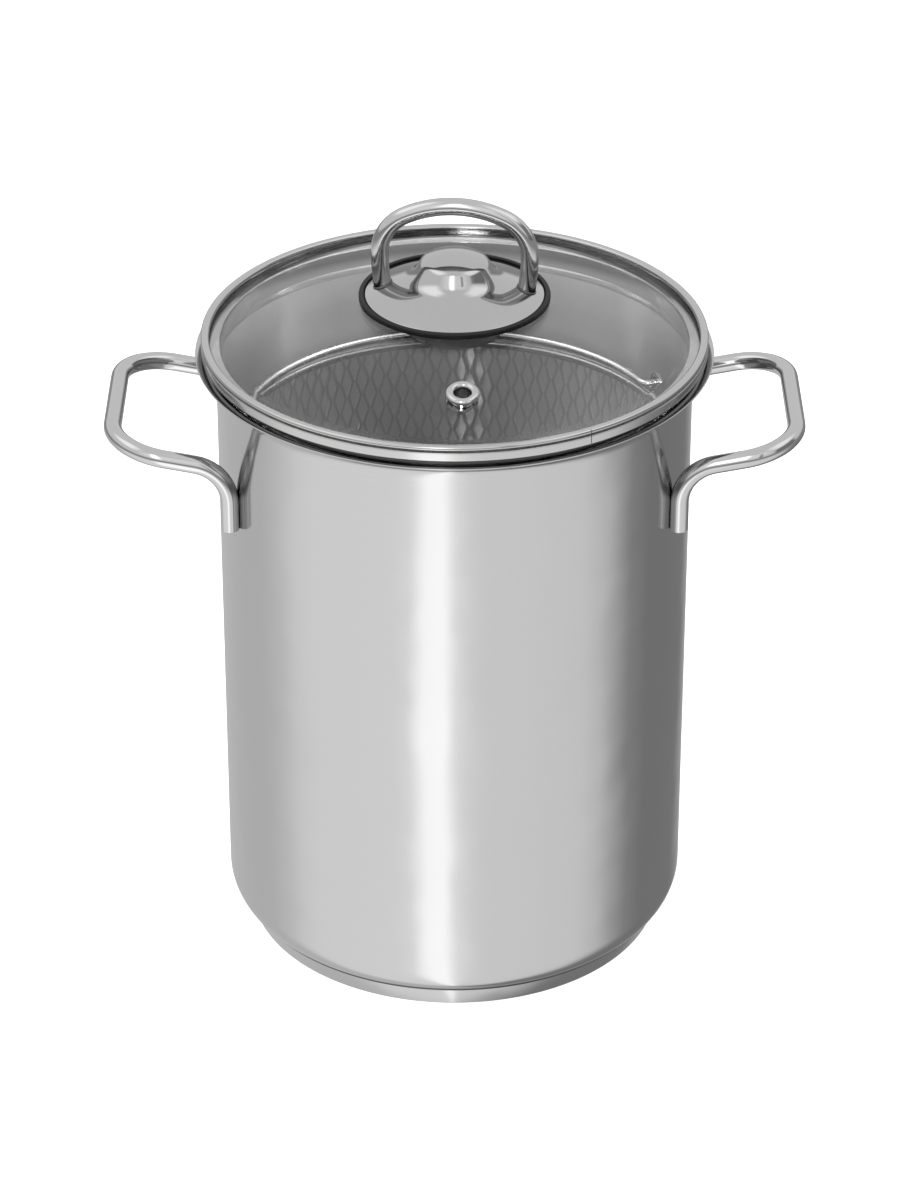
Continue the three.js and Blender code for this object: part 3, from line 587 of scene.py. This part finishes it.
def makeBasketRing():
    s = ringSize
    profile = [(s["flange"], s["low"]), (s["outer"] - 0.8, s["low"])]
    profile += arcPoints(s["outer"] - 0.8, s["low"] + 0.8, 0.8, 280, 360, 6)
    profile += [(s["outer"], s["low"] + s["depth"]), (s["outer"] - s["sheet"], s["low"] + s["depth"]),
                (s["outer"] - s["sheet"], s["low"] + s["sheet"]), (s["flange"], s["low"] + s["sheet"]),
                (s["flange"], s["low"])]
    turnProfile(profile, 160)
    return endPiece("basketBottomRing", "basket", [wireMaterial], ["basket_bottom_ring"])


makeBasketRing()

floorSize = {"radius": 73.2, "middleZ": 11.35, "turn": 25.0}


def makeBasketFloor():
    s = floorSize
    columns, rows = math.ceil(2 * s["radius"] / cellWidth) + 1, math.ceil(2 * s["radius"] / cellHeight) + 1
    piece = makeStrands(columns, rows)
    piece.location = (-columns * cellWidth / 2 * mm, 0, -rows * cellHeight / 2 * mm)
    bpy.ops.object.transform_apply(location=True, rotation=True, scale=True)
    piece.rotation_euler = (math.pi / 2, 0, math.radians(s["turn"]))
    piece.location = (0, 0, s["middleZ"] * mm)
    bpy.ops.object.transform_apply(location=True, rotation=True, scale=True)
    bpy.ops.object.mode_set(mode="EDIT")
    bpy.ops.mesh.select_mode(type="VERT")
    bpy.ops.mesh.select_all(action="DESELECT")
    bpy.ops.object.mode_set(mode="OBJECT")
    for vertex in piece.data.vertices:
        vertex.select = math.hypot(vertex.co.x, vertex.co.y) > s["radius"] * mm
    bpy.ops.object.mode_set(mode="EDIT")
    bpy.ops.mesh.delete(type="VERT")
    bpy.ops.object.mode_set(mode="OBJECT")
    closeStrands()
    return endPiece("basketFloor", "basket", [expandedMaterial, slitEdgeGlintMaterial],
                    ["basket_floor"], 35)


makeBasketFloor()
print("basket made")


# Bail: wire hoop folded down, hooked out through the lugs

bailSize = {"wire": 2.8, "hoop": 72.5, "z": 188.33, "hook": 3.0, "tip": 78.2, "turn": 25.0}


def makeBail():
    s = bailSize
    startRod((s["tip"], 0, s["z"]), (-1, 0, 0), s["wire"], 16)
    drawRod((s["hoop"] + s["hook"] - s["tip"], 0, 0))
    bendRod((s["hoop"] + s["hook"], s["hook"], s["z"]), (0, 0, -1), 90, 8)
    lead = math.degrees(math.asin(s["hook"] / s["hoop"]))
    bendRod((0, 0, s["z"]), (0, 0, 1), 180 - 2 * lead, 120)
    bendRod((-s["hoop"] - s["hook"], s["hook"], s["z"]), (0, 0, -1), 90, 8)
    drawRod((s["hoop"] + s["hook"] - s["tip"], 0, 0))
    piece = closeRod()
    piece.rotation_euler = (0, 0, math.radians(s["turn"]))
    bpy.ops.object.transform_apply(location=True, rotation=True, scale=True)
    return endPiece("bailWire", "bail", [wireMaterial], ["bail"], 60)


makeBail()
print("bail bent")


# Lid: glass dome in a rolled steel band

lidSize = {"band": 85.484, "glassLow": 219.881, "glassTop": 223.281, "glass": 84.384,
           "dome": 80.784, "rise": 15.8, "hole": 3.3}
domeCurve = (lidSize["dome"] ** 2 + lidSize["rise"] ** 2) / (2 * lidSize["rise"])


def domeTop(r):
    return lidSize["glassTop"] + lidSize["rise"] - domeCurve + math.sqrt(domeCurve ** 2 - r ** 2)


ventSize = {"radius": 59.6, "turn": -87.6, "bore": 2.6, "barrel": 3.5, "flange": 5.6}
ventTilt = (0, math.asin(ventSize["radius"] / domeCurve), math.radians(ventSize["turn"]))


def ventPlace():
    r, angle = ventSize["radius"], math.radians(ventSize["turn"])
    return (r * math.cos(angle) * mm, r * math.sin(angle) * mm, domeTop(r) * mm)


def makeGlass():
    s = lidSize
    thick = s["glassTop"] - s["glassLow"]
    radii = [s["hole"] + (s["dome"] - s["hole"]) * i / 28 for i in range(29)]
    profile = [(r, domeTop(r)) for r in radii] + [(s["glass"] - 0.5, s["glassTop"])]
    profile += [(s["glass"], s["glassTop"] - 0.5), (s["glass"], s["glassLow"] + 0.5),
                (s["glass"] - 0.5, s["glassLow"])]
    profile += [(r, domeTop(r) - thick) for r in reversed(radii)] + [(radii[0], domeTop(radii[0]))]
    glass = turnProfile(profile, 160)
    startPiece()
    bpy.ops.mesh.primitive_cylinder_add(
        vertices=48, radius=(ventSize["barrel"] + 0.3) * mm, depth=12 * mm, location=ventPlace(),
        rotation=ventTilt)
    drill = bpy.context.object
    glass.select_set(True)
    bpy.context.view_layer.objects.active = glass
    hole = glass.modifiers.new("ventHole", "BOOLEAN")
    hole.operation = "DIFFERENCE"
    hole.object = drill
    applyModifiers(glass)
    bpy.data.objects.remove(drill)
    return endPiece("lidGlass", "lid", [glassMaterial], ["lid_glass"], 35)


makeGlass()

bandSize = {"flange": 0.4, "foot": 83.184, "footWidth": 1.2, "footZ": 217.354, "skirt": 79.2,
            "skirtSheet": 0.6, "skirtZ": 213.63, "skirtTop": 216.5, "inside": 1.3, "curl": 0.8,
            "groove": 0.75, "grooveDepth": 0.8, "bead": 2.9, "crest": 1.6, "seamDeg": -59.0, "seam": 0.3,
            "seamZ": 222.5}


def makeBand():
    s, d = lidSize, bandSize
    b, cavity, flange = s["band"], s["glassTop"] + 0.3, s["glassLow"] - 0.3
    low, skirtIn, footIn = flange - d["flange"], d["skirt"] - d["skirtSheet"], d["foot"] - d["footWidth"]
    corners = [(skirtIn, d["skirtTop"], 0), (skirtIn, d["skirtZ"], 0.28), (d["skirt"], d["skirtZ"], 0.28),
               (d["skirt"], low, 0.3), (footIn, low, 0.3), (footIn, d["footZ"], 0.3),
               (d["foot"], d["footZ"], 0.4), (d["foot"], low, 0.3), (b - 1.2, low, 0.4),
               (b, low + d["curl"], 0.5), (b, cavity - d["groove"], 0.3),
               (b - d["grooveDepth"], cavity - 0.2, 0.2), (b, cavity + 0.35, 0.3),
               (b, cavity + d["crest"], 0.9), (b - d["bead"], cavity + d["crest"], 1.0),
               (b - d["bead"], cavity, 0), (b - d["inside"], cavity, 0), (b - d["inside"], flange, 0),
               (skirtIn, flange, 0.4), (skirtIn, d["skirtTop"], 0)]
    band = turnProfile(roundCorners(corners), 192)
    angle = math.radians(d["seamDeg"])  # the butt joint where the strip's ends meet
    startPiece()
    bpy.ops.mesh.primitive_cube_add(
        size=1, location=(b * math.cos(angle) * mm, b * math.sin(angle) * mm, d["seamZ"] * mm),
        rotation=(0, 0, angle))
    blade = bpy.context.object
    blade.scale = (1.2 * mm, d["seam"] * mm, 9 * mm)
    band.select_set(True)
    bpy.context.view_layer.objects.active = band
    seam = band.modifiers.new("seam", "BOOLEAN")
    seam.operation = "DIFFERENCE"
    seam.object = blade
    applyModifiers(band)
    bpy.data.objects.remove(blade)
    for face in band.data.polygons:  # painted shade: the groove faces take the darker weld steel, so the groove reads dark
        r, z = math.hypot(face.center.x, face.center.y) / mm, face.center.z / mm
        if b - d["grooveDepth"] - 0.1 < r < b - 0.15 and cavity - d["groove"] < z < cavity + 0.35:
            face.material_index = 1
    return endPiece("lidBand", "lid", [bandMaterial, weldAndGrooveShadeMaterial], ["lid_band"], 50)


makeBand()


def makeVent():
    v = ventSize
    thick = lidSize["glassTop"] - lidSize["glassLow"]
    middle, half = (v["bore"] + v["flange"]) / 2, (v["flange"] - v["bore"]) / 2
    profile = [(v["bore"], -thick - 1.1), (v["bore"], 0.4)]
    profile += arcPoints(middle, 0.6, half, 180, 0, 16)
    profile += [(v["flange"] - 0.4, 0.25), (v["barrel"], 0.25), (v["barrel"], -thick - 0.3),
                (v["flange"] - 0.6, -thick - 0.3), (v["flange"] - 0.4, -thick - 0.7),
                (v["flange"] - 0.7, -thick - 1.1), (v["bore"], -thick - 1.1)]
    piece = turnProfile(profile, 64)
    piece.location = ventPlace()
    piece.rotation_euler = ventTilt
    bpy.ops.object.transform_apply(location=True, rotation=True, scale=True)
    return endPiece("ventEyelet", "lid", [buffedMaterial], ["vent_eyelet"])


makeVent()
print("lid made")


# Knob: gasket with a lip, pressed plate that rises to a boss, and a bent loop welded to it

knobSize = {"plate": 30.2, "plateZ": 237.8, "sheet": 0.8, "slope": 23.0, "bossTop": 253.3, "dome": 27.0,
            "domeSlope": 22.0, "shoulder": 3.5, "bossSlope": 60.0, "flare": 9.0, "lipIn": 30.45,
            "lipOut": 32.2, "lip": 0.4, "gasketIn": 24.0, "turn": -4.7, "bar": 6.0, "width": 25.1,
            "leg": 73.9, "waistZ": 253.04, "topZ": 270.34, "crook": 15.0, "weld": 0.45, "footZ": 241.0,
            "clearZ": 243.6}
plateRise = math.tan(math.radians(knobSize["slope"]))


def plateTop(r):
    return knobSize["plateZ"] + knobSize["sheet"] + (knobSize["plate"] - r) * plateRise


def makePlate():
    # domed top, rounded shoulder, steep side and a hollow flare down to the sloping plate
    s = knobSize
    domeDeg, sideDeg = 90 - s["domeSlope"], 90 - s["bossSlope"]
    domeZ = s["bossTop"] - s["dome"]
    offset = s["dome"] - s["shoulder"]
    shoulderR = offset * math.cos(math.radians(domeDeg))
    shoulderZ = domeZ + offset * math.sin(math.radians(domeDeg))
    top = arcPoints(0, domeZ, s["dome"], 90, domeDeg, 12)
    top += arcPoints(shoulderR, shoulderZ, s["shoulder"], domeDeg, sideDeg, 10)[1:]
    top[0] = (0, s["bossTop"])
    sideR, sideZ = top[-1]
    lean, out = math.radians(s["bossSlope"]), math.radians(s["slope"])
    flareR = s["flare"] * (math.sin(lean) - math.sin(out))
    flareZ = s["flare"] * (math.cos(out) - math.cos(lean))
    drop = sideZ - flareZ - plateTop(sideR + flareR)  # straight side that brings the flare down to the plate
    side = drop / (math.sin(lean) - math.cos(lean) * plateRise)
    hollowR = sideR + side * math.cos(lean) + s["flare"] * math.sin(lean)
    hollowZ = sideZ - side * math.sin(lean) + s["flare"] * math.cos(lean)
    top += arcPoints(hollowR, hollowZ, s["flare"], 180 + sideDeg, 270 - s["slope"], 12)
    edgeR, edgeZ = s["plate"], plateTop(s["plate"])
    top += roundCorners([top[-1] + (0,), (edgeR, edgeZ, 0.3), (edgeR - 0.32, edgeZ - s["sheet"], 0)])[1:]
    # the underside lies about one sheet below, without the rounded edge
    under = [(r - 0.35, z - 0.78) for r, z in reversed(top[1:-9]) if r > 1]
    turnProfile(top + under + [(0, s["bossTop"] - s["sheet"])], 144)
    return endPiece("knobPlate", "lid", [satinMaterial], ["knob_plate"], 50)


makePlate()


def makeGasket():
    s = knobSize
    top = plateTop(s["plate"]) + s["lip"]
    inside = s["plateZ"] - 0.3
    corners = [(s["gasketIn"], domeTop(s["gasketIn"]) + 0.3, 0),
               (s["lipOut"], domeTop(s["lipOut"]) + 0.3, 0.5),
               (s["lipOut"], top, 0.6), (s["lipIn"], top, 0.4), (s["lipIn"], inside, 0),
               (s["plate"] - 0.43, inside, 0),
               (s["gasketIn"], inside + (s["plate"] - 0.43 - s["gasketIn"]) * plateRise, 0),
               (s["gasketIn"], domeTop(s["gasketIn"]) + 0.3, 0)]
    turnProfile(roundCorners(corners), 144)
    return endPiece("knobGasket", "lid", [siliconeMaterial], ["knob_gasket"], 50)


makeGasket()


def makeLoop():
    s = knobSize
    w, waist, crook, legR = s["width"], s["waistZ"], s["crook"], s["leg"]
    h = s["topZ"] - waist
    # crown radius from the tangent crook and crown arcs
    crownR = ((w - crook) ** 2 + h ** 2 - crook ** 2) / (2 * (h - crook))
    crownZ = s["topZ"] - crownR
    crownDeg = math.degrees(math.atan2(w - crook, waist - crownZ))
    footZ, clearZ = s["footZ"], s["clearZ"]  # the foot is drawn to the sloping plate below
    lean = math.asin((waist - clearZ) / legR)
    clearX = w - legR * (1 - math.cos(lean))
    footX = clearX - (clearZ - footZ) * math.tan(lean)
    startRod((footX, 0, footZ), (math.sin(lean), 0, math.cos(lean)), s["bar"])
    drawRod((clearX - footX, 0, clearZ - footZ))
    bendRod((w - legR, 0, waist), (0, -1, 0), math.degrees(lean), 6)
    bendRod((w - crook, 0, waist), (0, -1, 0), 90 - crownDeg, 16)
    bendRod((0, 0, crownZ), (0, -1, 0), 2 * crownDeg, 16)
    bendRod((crook - w, 0, waist), (0, -1, 0), 90 - crownDeg, 16)
    bendRod((legR - w, 0, waist), (0, -1, 0), math.degrees(lean), 6)
    drawRod((clearX - footX, 0, footZ - clearZ))
    loop = closeRod()
    for vertex in loop.data.vertices:  # both feet follow the plate
        if vertex.co.z < (footZ + clearZ) / 2 * mm:
            vertex.co.z = (plateTop(math.hypot(vertex.co.x, vertex.co.y) / mm) - 0.2) * mm
    loop.data.materials.append(buffedMaterial)
    parts = [loop]
    for side in (1, -1):
        bpy.ops.mesh.primitive_torus_add(
            major_radius=(s["bar"] / 2 + 0.05) * mm, minor_radius=s["weld"] * mm, major_segments=40,
            minor_segments=10, location=(side * footX * mm, 0, plateTop(footX) * mm),
            rotation=(0, side * math.radians(s["slope"]), 0))
        bpy.context.object.data.materials.append(weldAndGrooveShadeMaterial)
        parts.append(bpy.context.object)
    bpy.ops.object.select_all(action="DESELECT")
    for part in parts:
        part.select_set(True)
    bpy.context.view_layer.objects.active = loop
    bpy.ops.object.join()
    loop.rotation_euler = (0, 0, math.radians(s["turn"]))
    bpy.ops.object.transform_apply(location=True, rotation=True, scale=True)
    return endPiece("knobLoop", "lid", [], ["knob_loop"], 60)


makeLoop()

washerSize = {"cup": 20.8, "cupTop": 231.7, "edge": 3.2, "bowl": 16.3, "depth": 7.8, "sheet": 1.0,
              "hole": 3.3}


def makeCupWasher():
    s = washerSize
    low, inner = s["cupTop"] - s["depth"], s["bowl"] - s["sheet"]
    profile = arcPoints(s["cup"] - 0.8, s["cupTop"] - 0.8, 0.8, 90, 0, 6)
    profile += [(s["cup"], s["cupTop"] - s["edge"]), (s["cup"] - 0.5, s["cupTop"] - s["edge"] - 0.1),
                (s["cup"] - s["sheet"], s["cupTop"] - s["edge"]),
                (s["cup"] - s["sheet"], s["cupTop"] - s["sheet"]),
                (s["bowl"], s["cupTop"] - s["sheet"])]
    profile += arcPoints(s["bowl"] - 1.2, low + 1.2, 1.2, 0, -90, 6)
    profile += [(s["hole"], low), (s["hole"], low + s["sheet"]), (inner, low + s["sheet"]),
                (inner, s["cupTop"]), profile[0]]
    turnProfile(profile, 96)
    return endPiece("cupWasher", "lid", [buffedMaterial], ["cup_washer"])


makeCupWasher()
print("knob made")


# CAD pieces that keep their shape get their finish here
cadFinish = {"base_core": aluminiumMaterial, "knob_nut": expandedMaterial, "knob_screw": buffedMaterial,
             "seal_washer": siliconeMaterial, "bail_lug_right": wireMaterial, "bail_lug_left": wireMaterial}
for nodeName, material in cadFinish.items():
    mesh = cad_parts[nodeName].data
    mesh.materials.clear()
    mesh.materials.append(material)
print("CAD pieces finished:", len(cadFinish))


# Stage: white sweep, soft sky and lamps

def makeFloor():
    startPiece()
    bpy.ops.mesh.primitive_plane_add(size=8.0, location=(0, 0, 0))
    floor = bpy.context.object
    floor.name = "studioFloor"
    material, tree, shader = newMaterial("paperSweepWhite")[:3]
    fillInputs(tree, shader, {"Base Color": linear("#efefef"), "Roughness": 0.9})
    path = addNode(tree, "ShaderNodeLightPath")
    glow = addNode(tree, "ShaderNodeEmission", inputs={"Color": linear("#ffffff"), "Strength": 0.6})
    lift = addNode(tree, "ShaderNodeAddShader", inputs={0: shader.outputs[0], 1: glow.outputs[0]})
    seen = addNode(tree, "ShaderNodeMath", {"operation": "MAXIMUM"}, {
        0: path.outputs["Is Camera Ray"], 1: path.outputs["Is Transmission Ray"]})
    mix = addNode(tree, "ShaderNodeMixShader", inputs={
        0: seen.outputs[0], 1: shader.outputs[0], 2: lift.outputs[0]})
    tree.links.new(mix.outputs[0], tree.nodes["Material Output"].inputs["Surface"])
    floor.data.materials.append(material)
    floor.visible_glossy = False


makeFloor()

# Sky tone by compass direction, seen by the steel below the horizon: 0 is the camera's side, + to its right
skyTones = {-180: 0.52, -150: 0.58, -125: 0.59, -108: 0.61, -95: 0.70, -84: 0.84, -74: 0.90, -30: 0.93,
            -23: 1.0, -15: 1.42, -5: 1.46, 1: 1.06, 9: 0.90, 16: 0.86, 40: 0.84, 66: 0.80, 76: 0.70,
            86: 0.51, 97: 0.30, 110: 0.23, 150: 0.22, 180: 0.52}
# Ceiling over the whole set, a dark room along the horizon, plain light on what is neither metal nor
# glass, the light that the ceiling adds for the steel under the glass, and how much of the sky is left in
# steel that other steel shows; then the heights, as sines, where the ceiling starts and where the lower
# sky ends
skyParts = {"ceiling": 0.72, "horizon": 0.3, "plain": 0.8, "under": 0.1, "repeat": 0.5,
            "haze": (0.02, 0.16), "border": (-0.42, -0.12)}
# Soft boxes in the upper sky, in degrees: middle round the compass, half width and its soft edge, lower
# and upper height and their soft edge; then the tone, and the light that the box adds for the steel under
# the glass
skyBoxes = {"strip": (-9.0, 7.0, 6.0, 20.0, 58.0, 6.0, 1.3, 0.0),
            "slot": (-8.5, 5.0, 2.0, 20.0, 72.0, 5.0, 0.0, 110.0),
            "front": (0.0, 38.0, 12.0, 20.0, 56.0, 7.0, 0.2, -0.8),
            "right": (88.0, 34.0, 16.0, 40.0, 74.0, 8.0, 0.4, 0.0),
            "left": (-88.0, 34.0, 16.0, 40.0, 74.0, 8.0, 0.5, 0.0),
            "farRight": (116.0, 34.0, 26.0, 40.0, 74.0, 8.0, 0.0, 3.4),
            "farLeft": (-106.0, 32.0, 26.0, 40.0, 74.0, 8.0, 0.0, 2.8),
            "window": (90.0, 7.0, 4.0, 30.0, 70.0, 6.0, 0.0, 3.0),
            "ledge": (0.0, 150.0, 30.0, 4.0, 26.0, 5.0, 0.0, 0.8),
            "doorway": (76.0, 24.0, 6.0, 4.0, 32.0, 5.0, -0.5, 0.0),
            "stand": (24.0, 3.5, 1.5, 8.0, 44.0, 3.0, -0.5, 0.0)}


def boxTone(tree, compass, height, through, box):
    # tone of one soft box, faded out past its sides, its lower edge and its upper edge
    at, half, soft, low, top, edge, tone, under = box
    offset = addNode(tree, "ShaderNodeMath", {"operation": "SUBTRACT"}, {0: compass, 1: math.radians(at)})
    aside = addNode(tree, "ShaderNodeMath", {"operation": "ABSOLUTE"}, {0: offset.outputs[0]})
    lowEdge, topEdge = [
        [math.sin(math.radians(level + way * edge)) for way in (-1, 1)] for level in (low, top)]
    sideEdge = [math.radians(half - soft), math.radians(half + soft)]
    shown = addNode(tree, "ShaderNodeMath", {"operation": "MULTIPLY_ADD"}, {0: through, 1: under, 2: tone})
    for value, (start, end), first in ((aside.outputs[0], sideEdge, 1), (height, lowEdge, 0),
                                       (height, topEdge, 1)):
        fade = addNode(tree, "ShaderNodeMapRange", {"interpolation_type": "SMOOTHSTEP"}, {
            "Value": value, "From Min": start, "From Max": end, "To Min": first, "To Max": 1 - first})
        shown = addNode(tree, "ShaderNodeMath", {"operation": "MULTIPLY"}, {
            0: shown.outputs[0], 1: fade.outputs["Result"]})
    return shown.outputs[0]


def makeSky():
    s = skyParts
    world = bpy.data.worlds.new("studioSky")
    bpy.context.scene.world = world
    world.use_nodes = True
    tree = world.node_tree
    background = tree.nodes["Background"]
    place = addNode(tree, "ShaderNodeTexCoord")
    axes = addNode(tree, "ShaderNodeSeparateXYZ", inputs={"Vector": place.outputs["Generated"]})
    height = axes.outputs["Z"]
    ahead = addNode(tree, "ShaderNodeMath", {"operation": "MULTIPLY"}, {0: axes.outputs["Y"], 1: -1.0})
    compass = addNode(tree, "ShaderNodeMath", {"operation": "ARCTAN2"},
                      {0: axes.outputs["X"], 1: ahead.outputs[0]})
    share = addNode(tree, "ShaderNodeMapRange", inputs={
        "Value": compass.outputs[0], "From Min": -math.pi, "From Max": math.pi, "To Min": 0.0, "To Max": 1.0})
    around = addNode(tree, "ShaderNodeValToRGB", inputs={"Fac": share.outputs["Result"]})
    stops = around.color_ramp.elements
    for i, (degrees, tone) in enumerate(sorted(skyTones.items())):
        stop = stops[i] if i < 2 else stops.new((degrees + 180) / 360)
        stop.position = (degrees + 180) / 360
        stop.color = (tone / 2, tone / 2, tone / 2, 1)  # halved to fit the ramp, doubled below
    around.color_ramp.interpolation = "LINEAR"
    lower = addNode(tree, "ShaderNodeVectorMath", {"operation": "SCALE"}, {
        0: around.outputs["Color"], "Scale": 2.0})
    path = addNode(tree, "ShaderNodeLightPath")
    glossy, clear = path.outputs["Is Glossy Ray"], path.outputs["Is Transmission Ray"]
    mirrored = addNode(tree, "ShaderNodeMath", {"operation": "GREATER_THAN"}, {
        0: path.outputs["Glossy Depth"], 1: 0.5})
    through = addNode(tree, "ShaderNodeMath", {"operation": "MULTIPLY"}, {
        0: clear, 1: mirrored.outputs[0]}).outputs[0]  # from steel under the glass
    ceiling = addNode(tree, "ShaderNodeMapRange", {"interpolation_type": "SMOOTHSTEP"}, {
        "Value": height, "From Min": s["haze"][0], "From Max": s["haze"][1],
        "To Min": s["horizon"], "To Max": s["ceiling"]})
    gain = addNode(tree, "ShaderNodeMath", {"operation": "MULTIPLY_ADD"}, {0: through, 1: s["under"], 2: 1.0})
    upper = addNode(tree, "ShaderNodeMath", {"operation": "MULTIPLY"}, {
        0: ceiling.outputs["Result"], 1: gain.outputs[0]})
    for box in skyBoxes.values():
        upper = addNode(tree, "ShaderNodeMath", {"operation": "ADD"}, {
            0: upper.outputs[0], 1: boxTone(tree, compass.outputs[0], height, through, box)})
    above = addNode(tree, "ShaderNodeMapRange", {"interpolation_type": "SMOOTHSTEP"}, {
        "Value": height, "From Min": s["border"][0], "From Max": s["border"][1],
        "To Min": 0.0, "To Max": 1.0})
    studio = addNode(tree, "ShaderNodeMix", {"data_type": "RGBA"}, {
        "Factor": above.outputs["Result"], "A": lower.outputs["Vector"], "B": upper.outputs[0]})
    twice = addNode(tree, "ShaderNodeMath", {"operation": "GREATER_THAN"}, {
        0: path.outputs["Glossy Depth"], 1: 1.5})
    repeated = addNode(tree, "ShaderNodeMath", {"operation": "MULTIPLY"}, {0: glossy, 1: twice.outputs[0]})
    left = addNode(tree, "ShaderNodeMath", {"operation": "MULTIPLY_ADD"}, {
        0: repeated.outputs[0], 1: s["repeat"] - 1.0, 2: 1.0})
    dimmed = addNode(tree, "ShaderNodeVectorMath", {"operation": "SCALE"}, {
        0: studio.outputs["Result"], "Scale": left.outputs[0]})
    seen = addNode(tree, "ShaderNodeMath", {"operation": "MAXIMUM"}, {0: glossy, 1: through})
    light = addNode(tree, "ShaderNodeMix", {"data_type": "RGBA"}, {
        "Factor": seen.outputs[0], "A": [s["plain"]] * 3 + [1.0], "B": dimmed.outputs["Vector"]})
    straight = addNode(tree, "ShaderNodeMath", {"operation": "SUBTRACT"}, {
        0: clear, 1: through})  # seen through clear glass
    bare = addNode(tree, "ShaderNodeMath", {"operation": "MAXIMUM"}, {
        0: path.outputs["Is Camera Ray"], 1: straight.outputs[0]})
    shown = addNode(tree, "ShaderNodeMix", {"data_type": "RGBA"}, {
        "Factor": bare.outputs[0], "A": light.outputs["Result"], "B": linear("#ffffff")})
    tree.links.new(shown.outputs["Result"], background.inputs["Color"])
    background.inputs["Strength"].default_value = 1.0


makeSky()

lamps = {"keyPanel": {"place": (-0.7, -1.0, 1.5), "size": 0.7, "watts": 14.0},
         "fillPanel": {"place": (0.9, -0.7, 1.1), "size": 0.5, "watts": 5.0},
         "topPanel": {"place": (0.0, 0.25, 1.6), "size": 0.9, "watts": 10.0}}


def makeLamps():
    for name, s in lamps.items():
        startPiece()
        bpy.ops.object.light_add(type="AREA", location=s["place"])
        lamp = bpy.context.object
        lamp.name = name
        lamp.data.shape = "SQUARE"
        lamp.data.size = s["size"]
        lamp.data.energy = s["watts"]
        lamp.visible_glossy = False
        lamp.visible_transmission = False
        aim = [-c for c in s["place"]]
        aim[2] += 0.12
        flat = math.hypot(aim[0], aim[1])
        lamp.rotation_euler = (math.atan2(flat, -aim[2]), 0, math.atan2(aim[1], aim[0]) - math.pi / 2)


makeLamps()

# Camera, fitted to the photograph: 900 by 1200 pixels, long side on the sensor width
cameraFit = {"place": (-0.00154, -1.2807, 0.8539), "pitch": 60.19, "lens": 126.91}


def makeCamera():
    bpy.ops.object.camera_add(location=cameraFit["place"], rotation=(math.radians(cameraFit["pitch"]), 0, 0))
    camera = bpy.context.object
    camera.name = "photoCamera"
    camera.data.lens = cameraFit["lens"]
    camera.data.sensor_width = 36.0
    camera.data.clip_end = 20
    bpy.context.scene.camera = camera


makeCamera()
bpy.context.scene.view_settings.view_transform = "Standard"
print("stage set")
